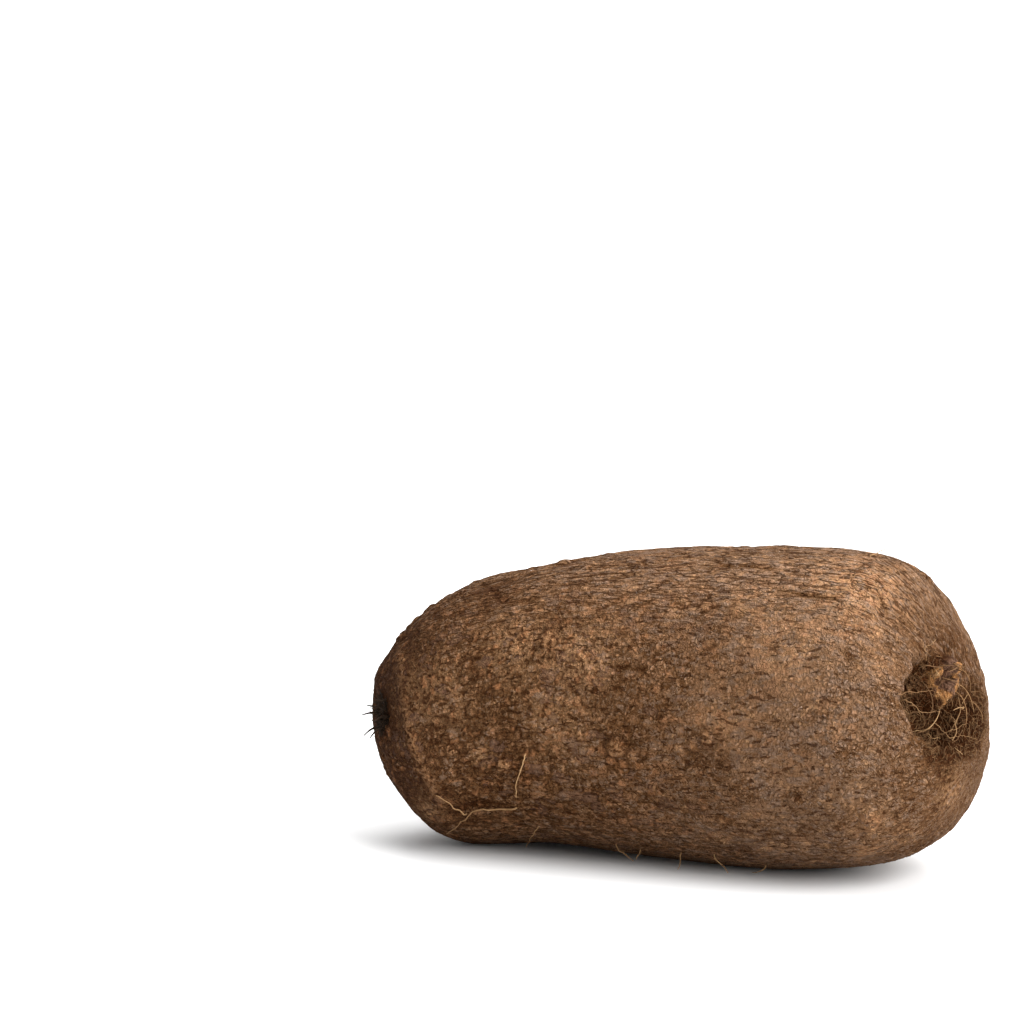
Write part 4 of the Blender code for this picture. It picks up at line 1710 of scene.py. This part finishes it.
@dataclass(frozen=True)
class BarkPattern:
    """The patterns that the bark's colour and relief are made of, each from 0 to 1 or round 0."""

    rubbed: Wire
    wart: Wire
    scar: Wire
    wood: Wire
    shade: Wire
    fibrous: Wire
    freckled: Wire
    flaky: Wire
    grit: Wire
    fleck: Wire
    mottle: Wire
    stain: Wire
    hue: Wire
    dark: Wire
    knob: Wire
    busy: Wire
    flake_hue: Wire
    grain_hue: Wire
    pebble_hue: Wire
    raised: Wire
    dome: Wire
    crack: Wire
    seam: Wire
    speck: Wire
    fine: Wire
    plates: Wire
    crumbs: Wire
    chips: Wire

    @classmethod
    def on(cls, sheet: Sheet) -> "BarkPattern":
        """Lays the patterns out on a node sheet.

        Args:
            sheet: the bark's node sheet.

        Returns:
            The patterns.
        """
        fibrous = sheet.channel(Channel.FIBROUS.value)
        freckled = sheet.channel(Channel.FRECKLED.value)
        scar = sheet.channel(Channel.SCAR.value)
        scaly = fibrous * 0.85 + 0.12
        grainy = 1.0 - fibrous * 0.45 - freckled * 0.25
        flaky = freckled * 0.85 + 0.15

        grit = sheet.cloud(sheet.swayed(sheet.objects(0.0017), 0.5), 1.0, 0.5)
        dust = sheet.cloud(sheet.objects(0.00085), 0.0, 0.5)
        fleck = sheet.cloud(sheet.swayed(sheet.objects(0.0013), 1.2), 0.0, 0.5).step(0.66, 0.72)
        hue = sheet.cloud(sheet.grain(0.0050, 0.0030), 2.0, 0.6)
        # The dark channel holds stains, and painted shade in the warts' moats, the wrinkles' hollows and
        # over the tail end.
        tinted = sheet.channel(Channel.DARK.value)
        bustle = sheet.cloud(sheet.swayed(sheet.grain(0.0110, 0.0080), 0.8), 1.0, 0.5)
        busy = bustle.step(0.36, 0.64) * 1.1 + 0.45
        crowd = (busy - 1.0) * 0.04

        scales = sheet.swayed(sheet.grain(0.0078, 0.0025), 1.4)
        scale_tone, _ = sheet.cell_tones(scales)
        scale_edge = sheet.cell_edge(scales)
        flakes = sheet.swayed(sheet.grain(0.0048, 0.0038), 1.6)
        flake_tone, flake_hue = sheet.cell_tones(flakes)
        flake_edge = sheet.cell_edge(flakes)
        grains = sheet.swayed(sheet.objects(0.0018), 1.6)
        grain_tone, grain_hue = sheet.cell_tones(grains)
        grain_edge = sheet.cell_edge(grains)
        pebbles = sheet.swayed(sheet.objects(0.0036), 0.8)
        pebble_tone, pebble_hue = sheet.cell_tones(pebbles)
        raised = pebble_tone.step(0.45, 0.55) * (freckled * 0.85 + 0.10)

        long_shreds = sheet.cloud(sheet.grain(0.0085, 0.0010), 0.5, 0.5)
        short_shreds = sheet.cloud(sheet.swayed(sheet.grain(0.0032, 0.0012), 0.9), 0.5, 0.5)
        dash = (long_shreds + crowd).step(0.645, 0.665)
        chip = (short_shreds + crowd).step(0.655, 0.675)
        gap = (1.0 - scale_edge.step(0.01, 0.07)) * sheet.cloud(sheet.grain(0.0050, 0.0024)).step(0.49, 0.53)
        crack = (dash * (fibrous * 0.75 + 0.18)).most(chip * 0.9).most(gap * fibrous) * (1.0 - scar)
        return cls(
            rubbed=sheet.channel(Channel.RUBBED.value),
            wart=sheet.channel(Channel.WART_AND_RIDGE_HIGHLIGHT.value),
            scar=scar,
            wood=sheet.channel(Channel.WOOD.value),
            shade=sheet.channel(Channel.PAINTED_SHADE_AND_STAIN.value),
            fibrous=fibrous,
            freckled=freckled,
            flaky=flaky,
            grit=grit,
            fleck=fleck,
            mottle=sheet.cloud(sheet.grain(0.0120, 0.0070), 3.0, 0.6),
            stain=sheet.cloud(sheet.objects(0.024), 3.0, 0.6),
            hue=hue,
            dark=tinted * (hue.step(0.36, 0.62) * 0.6 + 0.4),
            knob=sheet.cloud(sheet.objects(0.0032), 3.0),
            busy=busy,
            flake_hue=flake_hue,
            grain_hue=grain_hue,
            pebble_hue=pebble_hue,
            raised=raised,
            dome=raised * sheet.cell_edge(pebbles).step(0.03, 0.36),
            crack=crack,
            seam=(1.0 - flake_edge.step(0.02, 0.14)) * (dust + crowd).step(0.50, 0.56) * flaky,
            speck=(1.0 - grain_edge.step(0.02, 0.13)) * (grit + crowd).step(0.52, 0.57) * grainy,
            fine=((grit - 0.5) * (0.9 - fibrous * 0.45) + (dust - 0.5) * (0.5 - fibrous * 0.3)) * busy,
            plates=(scale_edge.step(0.0, 0.30) - 0.6) * scaly + (scale_tone - 0.5) * scaly * 0.5,
            crumbs=((grain_edge.step(0.0, 0.35) - 0.6) * 0.8 + (grain_tone - 0.5) * 0.3) * grainy,
            chips=((flake_tone - 0.5) * 0.7 + (flake_edge.step(0.0, 0.42) - 0.5) * 0.8) * flaky,
        )


@dataclass(frozen=True)
class BarkFinish:
    """Dry corky bark: brown and flaky, cracked along the grain, rubbed to orange in places."""

    soot: tuple[float, float, float] = (0.042, 0.013, 0.003)
    umber: tuple[float, float, float] = (0.108, 0.049, 0.019)
    brown: tuple[float, float, float] = (0.232, 0.131, 0.073)
    tan: tuple[float, float, float] = (0.365, 0.234, 0.158)
    straw: tuple[float, float, float] = (0.545, 0.392, 0.292)
    orange: tuple[float, float, float] = (0.340, 0.145, 0.060)
    ochre: tuple[float, float, float] = (0.450, 0.245, 0.118)
    plum: tuple[float, float, float] = (0.128, 0.070, 0.048)
    slate: tuple[float, float, float] = (0.190, 0.128, 0.096)
    scar: tuple[float, float, float] = (0.320, 0.150, 0.053)
    cream: tuple[float, float, float] = (0.500, 0.310, 0.155)
    roughness: float = 0.88
    bump_height: float = 0.0011

    def make(self) -> bpy.types.Material:
        """Builds the bark's material.

        Returns:
            The material.
        """
        sheet = Sheet("yam_bark")
        pattern = BarkPattern.on(sheet)
        value = self._value(pattern)
        colour = self._weathered(sheet, pattern, value)
        colour = self._with_scar(sheet, pattern, colour)
        # The cracks are soot-dark: their own dark colour and painted shade in them.
        colour = sheet.blend(pattern.crack * 0.80, colour, self.soot)
        relief = {"Strength": 1.0, "Distance": self.bump_height, "Height": self._relief(pattern)}
        bump = sheet.add("ShaderNodeBump", {}, relief)
        sheet.feed(sheet.shader.inputs["Base Color"], colour)
        sheet.feed(sheet.shader.inputs["Roughness"], pattern.grit * 0.14 + (self.roughness - 0.08))
        sheet.feed(sheet.shader.inputs["Normal"], bump.outputs["Normal"])
        sheet.shader.inputs["Specular IOR Level"].default_value = 0.02
        return sheet.material

    def _value(self, pattern: BarkPattern) -> Wire:
        """How light the bark is.

        Args:
            pattern: the bark's patterns.

        Returns:
            The lightness, from 0 to 1.
        """
        freckled = pattern.freckled
        # The lightness follows the fine relief, darker in the gaps round plates, flakes, grains and pebbles
        # and lighter on their tops: painted shade in the bark's crevices, along with its own mottling.
        value = 0.490 + pattern.fine * 0.20 + pattern.plates * 0.08 + pattern.crumbs * pattern.busy * 0.05
        value = value + pattern.chips * 0.14 + pattern.fleck * pattern.busy * 0.09
        value = value + (pattern.mottle - 0.5) * (0.22 - freckled * 0.10)
        value = value + pattern.rubbed * 0.07 + pattern.fibrous * 0.03
        value = value + (pattern.dome - pattern.raised * 0.55) * 0.14 - freckled * 0.112
        # Darker for the stains and painted shade of the dark channel, and for the painted shade in the bowl,
        # on the knob, in the fold and cracks, and for the tail scar's own dark.
        value = value - pattern.dark * (0.37 - freckled * 0.14) - pattern.shade * 0.38
        return value - pattern.seam * 0.19 - pattern.speck * 0.13

    def _weathered(self, sheet: Sheet, pattern: BarkPattern, value: Wire) -> bpy.types.NodeSocket:
        """The bark's colour: a ramp of browns, with orange, ochre, slate and plum worked into it.

        Args:
            sheet: the bark's node sheet.
            pattern: its patterns.
            value: how light it is.

        Returns:
            The colour's socket.
        """
        stops = (
            (0.10, self.soot),
            (0.32, self.umber),
            (0.50, self.brown),
            (0.66, self.tan),
            (0.86, self.straw),
        )
        colour = sheet.add("ShaderNodeValToRGB", {"stops": stops}, {"Fac": value}).outputs["Color"]
        lit = value.step(0.28, 0.50)
        tinted = pattern.stain.step(0.50, 0.70) * 0.35
        warm = (tinted + pattern.rubbed * 0.90 + pattern.freckled * 0.65) * pattern.hue.step(0.43, 0.57)
        colour = sheet.blend(warm * lit * 0.7, colour, self.orange)
        pebble_hue = pattern.pebble_hue
        rust = (1.0 - pebble_hue.step(0.46, 0.50)) * pattern.dome
        colour = sheet.blend(rust * 0.80, colour, self.orange)
        golden = (pebble_hue.step(0.84, 0.88) * pattern.dome).most(pattern.grain_hue.step(0.90, 0.93) * 0.6)
        colour = sheet.blend(golden * lit * 0.75, colour, self.ochre)
        cool = (1.0 - pattern.hue.step(0.40, 0.50)) * 0.45
        grey = pebble_hue.step(0.58, 0.62) * (1.0 - pebble_hue.step(0.82, 0.86))
        cool = cool.most(grey * pattern.dome * 0.7)
        colour = sheet.blend(cool * lit, colour, self.slate)
        purple = (1.0 - pattern.flake_hue.step(0.09, 0.12)) * pattern.flaky * 0.55
        colour = sheet.blend((pattern.dark * 0.25).most(purple), colour, self.plum)
        colour = sheet.blend(pattern.wart * 0.35 * pattern.grit.step(0.30, 0.60), colour, self.orange)
        # Pale ochre on the warts' tops, the rubbed patches and the tail ridge's crest, where it is also a
        # painted highlight.
        pale = (pattern.wart.step(0.55, 0.95) * 0.5).most(pattern.rubbed * 0.65)
        return sheet.blend(pale * pattern.grit.step(0.40, 0.58), colour, self.ochre)

    def _with_scar(
        self, sheet: Sheet, pattern: BarkPattern, colour: bpy.types.NodeSocket
    ) -> bpy.types.NodeSocket:
        """The bark's colour with the bare wood of the vine's scar on it.

        Args:
            sheet: the bark's node sheet.
            pattern: its patterns.
            colour: the bark's colour.

        Returns:
            The colour's socket.
        """
        bare = pattern.wood + (pattern.knob - 0.5) * 1.3
        woody = (pattern.scar + pattern.wood).step(0.1, 0.5)
        # Plum on the scar, orange-brown on its bare lumps and cream where they stand out most: the wood's
        # own colours, with painted shade in the hollows and a painted highlight on the lump tops.
        colour = sheet.blend(pattern.scar * 0.75, colour, self.plum)
        colour = sheet.blend(woody * bare.step(0.15, 0.55) * 0.85, colour, self.scar)
        return sheet.blend(bare.step(0.72, 1.15) * 0.75, colour, self.cream)

    def _relief(self, pattern: BarkPattern) -> Wire:
        """How high the bark's fine relief stands.

        Args:
            pattern: the bark's patterns.

        Returns:
            The height, in bump heights.
        """
        loose = pattern.plates * 1.1 + pattern.crumbs + pattern.chips * 0.9
        relief = pattern.fine + loose * (1.0 - pattern.scar) + pattern.mottle * 1.2
        relief = relief - pattern.seam * 0.6 - pattern.speck * 0.6
        return relief - pattern.crack * 2.0 + pattern.scar * pattern.knob * 4.0 + pattern.dome * 1.8


@dataclass(frozen=True)
class RootFinish:
    """Dry wiry root: from dark earth brown to pale straw, by each root's own tone."""

    name: str
    dark: tuple[float, float, float]
    middle: tuple[float, float, float]
    pale: tuple[float, float, float]
    roughness: float = 0.75

    def make(self) -> bpy.types.Material:
        """Builds the roots' material.

        Returns:
            The material.
        """
        sheet = Sheet(self.name)
        tone = sheet.channel("tone")
        streak = sheet.cloud(sheet.objects(0.0018), 3.0)
        value = tone * 0.8 + streak * 0.4 - 0.1
        stops = ((0.0, self.dark), (0.5, self.middle), (1.0, self.pale))
        ramp = sheet.add("ShaderNodeValToRGB", {"stops": stops}, {"Fac": value})
        bump = sheet.add("ShaderNodeBump", {}, {"Strength": 0.5, "Distance": 0.0001, "Height": streak})
        sheet.feed(sheet.shader.inputs["Base Color"], ramp.outputs["Color"])
        sheet.feed(sheet.shader.inputs["Normal"], bump.outputs["Normal"])
        sheet.shader.inputs["Roughness"].default_value = self.roughness
        sheet.shader.inputs["Specular IOR Level"].default_value = 0.12
        return sheet.material


STRAW_ROOT = RootFinish(
    name="yam_straw_root",
    dark=(0.034, 0.015, 0.006),
    middle=(0.165, 0.085, 0.035),
    pale=(0.440, 0.270, 0.130),
)
DARK_ROOT = RootFinish(
    name="yam_dark_root",
    dark=(0.012, 0.007, 0.004),
    middle=(0.045, 0.025, 0.013),
    pale=(0.150, 0.085, 0.042),
)


@dataclass
class Studio:
    """The pale floor that sweeps up behind, the soft lights and the camera."""

    azimuth: float = 25.0
    elevation: float = 7.0
    distance: float = 1.5
    focal_pixels: float = 3900.0
    frame_pixels: float = 1024.0
    sensor_mm: float = 36.0
    aim_sideways: float = -0.0654
    aim_height: float = 0.1334
    floor_half_width: float = 4.0
    floor_front: float = 3.0
    floor_back: float = 1.9
    sweep_radius: float = 0.9
    sweep_height: float = 3.0

    def set_up(self) -> None:
        """Lays the floor, hangs the lamps and places the camera."""
        self.floor()
        self.light()
        self.camera()

    def axes(self) -> tuple[Vector, Vector]:
        """The camera's directions.

        Returns:
            The direction to its right, and the one from the object to it.
        """
        turn, lift = math.radians(self.azimuth), math.radians(self.elevation)
        right = Vector((math.cos(turn), math.sin(turn), 0.0))
        back = Vector((math.sin(turn) * math.cos(lift), -math.cos(turn) * math.cos(lift), math.sin(lift)))
        return right, back

    def floor(self) -> bpy.types.Object:
        """Makes the floor: one long strip, bent up behind, across the camera's view.

        Returns:
            The floor's object.
        """
        right, _ = self.axes()
        away = UP.cross(right)
        line = [Vector((0.0, -self.floor_front, 0.0)), Vector((0.0, self.floor_back, 0.0))]
        for step in range(1, 17):
            turn = math.pi / 2 * step / 16
            line.append(
                Vector(
                    (
                        0.0,
                        self.floor_back + self.sweep_radius * math.sin(turn),
                        self.sweep_radius * (1.0 - math.cos(turn)),
                    )
                )
            )
        line.append(Vector((0.0, self.floor_back + self.sweep_radius, self.sweep_height)))
        bm = bmesh.new()
        left = -right * self.floor_half_width
        verts = [bm.verts.new(away * point.y + UP * point.z + left) for point in line]
        edges = [bm.edges.new(pair) for pair in zip(verts, verts[1:])]
        made = bmesh.ops.extrude_edge_only(bm, edges=edges)
        moved = [item for item in made["geom"] if isinstance(item, bmesh.types.BMVert)]
        bmesh.ops.translate(bm, verts=moved, vec=right * self.floor_half_width * 2.0)
        for face in bm.faces:
            if face.normal.dot(Vector((0.0, 0.0, 1.0)) - away) < 0.0:
                face.normal_flip()
        mesh = bpy.data.meshes.new("floor")
        bm.to_mesh(mesh)
        bm.free()
        mesh.shade_smooth()
        sheet = Sheet("floor_paper")
        sheet.shader.inputs["Base Color"].default_value = (0.78, 0.78, 0.78, 1.0)
        sheet.shader.inputs["Roughness"].default_value = 0.9
        sheet.shader.inputs["Specular IOR Level"].default_value = 0.1
        mesh.materials.append(sheet.material)
        item = bpy.data.objects.new("floor", mesh)
        bpy.context.scene.collection.objects.link(item)
        return item

    def lamp(self, name: str, place: Vector, aim: Vector, size: float, power: float) -> None:
        """Hangs a square soft lamp.

        Args:
            name: the lamp's name.
            place: where it hangs.
            aim: the point it faces.
            size: the length of its sides.
            power: its power in watts.
        """
        data = bpy.data.lights.new(name, "AREA")
        data.shape = "SQUARE"
        data.size = size
        data.energy = power
        item = bpy.data.objects.new(name, data)
        item.location = place
        item.rotation_euler = (place - aim).to_track_quat("Z", "Y").to_euler()
        bpy.context.scene.collection.objects.link(item)

    def light(self) -> None:
        """Hangs the lamps: the main one at the front right, one overhead and one on the sweep."""
        right, _ = self.axes()
        away = UP.cross(right)
        middle = Vector((0.0, 0.0, 0.06))
        self.lamp("front", UP * 0.98 + right * 1.25 - away * 1.12, middle, 1.4, 77.0)
        self.lamp("overhead", UP * 1.70 + right * 0.30, middle, 1.8, 30.0)
        self.lamp("sweep", away * 0.9 + UP * 2.2, away * 2.6 + UP * 0.7, 2.0, 60.0)
        world = bpy.data.worlds.new("studio_air")
        world.use_nodes = True
        world.node_tree.nodes["Background"].inputs["Color"].default_value = (1.0, 1.0, 1.0, 1.0)
        world.node_tree.nodes["Background"].inputs["Strength"].default_value = 0.46
        bpy.context.scene.world = world
        bpy.context.scene.view_settings.view_transform = "Standard"

    def camera(self) -> None:
        """Sets up the camera at the photograph's viewing angle."""
        right, back = self.axes()
        data = bpy.data.cameras.new("camera")
        data.sensor_width = self.sensor_mm
        data.lens = self.sensor_mm * self.focal_pixels / self.frame_pixels
        data.clip_end = 20.0
        item = bpy.data.objects.new("camera", data)
        turn = Matrix((right, back.cross(right), back)).transposed().to_4x4()
        aim = right * self.aim_sideways + Vector((0.0, 0.0, self.aim_height))
        item.matrix_world = Matrix.Translation(aim + back * self.distance) @ turn
        bpy.context.scene.collection.objects.link(item)
        bpy.context.scene.camera = item


def main() -> None:
    """Builds the studio and every piece of the yam."""
    logging.basicConfig(level=logging.INFO, format="%(message)s")
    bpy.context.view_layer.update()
    noise.seed_set(NOISE_SEED)
    Studio().set_up()

    skin = Skin()
    skin.build()
    skin.dress()

    straw, char = STRAW_ROOT.make(), DARK_ROOT.make()
    for roots, finish in ((CrownRoots(skin), straw), (SkinRoots(skin), straw), (TailRoots(skin), char)):
        roots.build()
        roots.dress(finish)


if __name__ == "__main__":
    main()
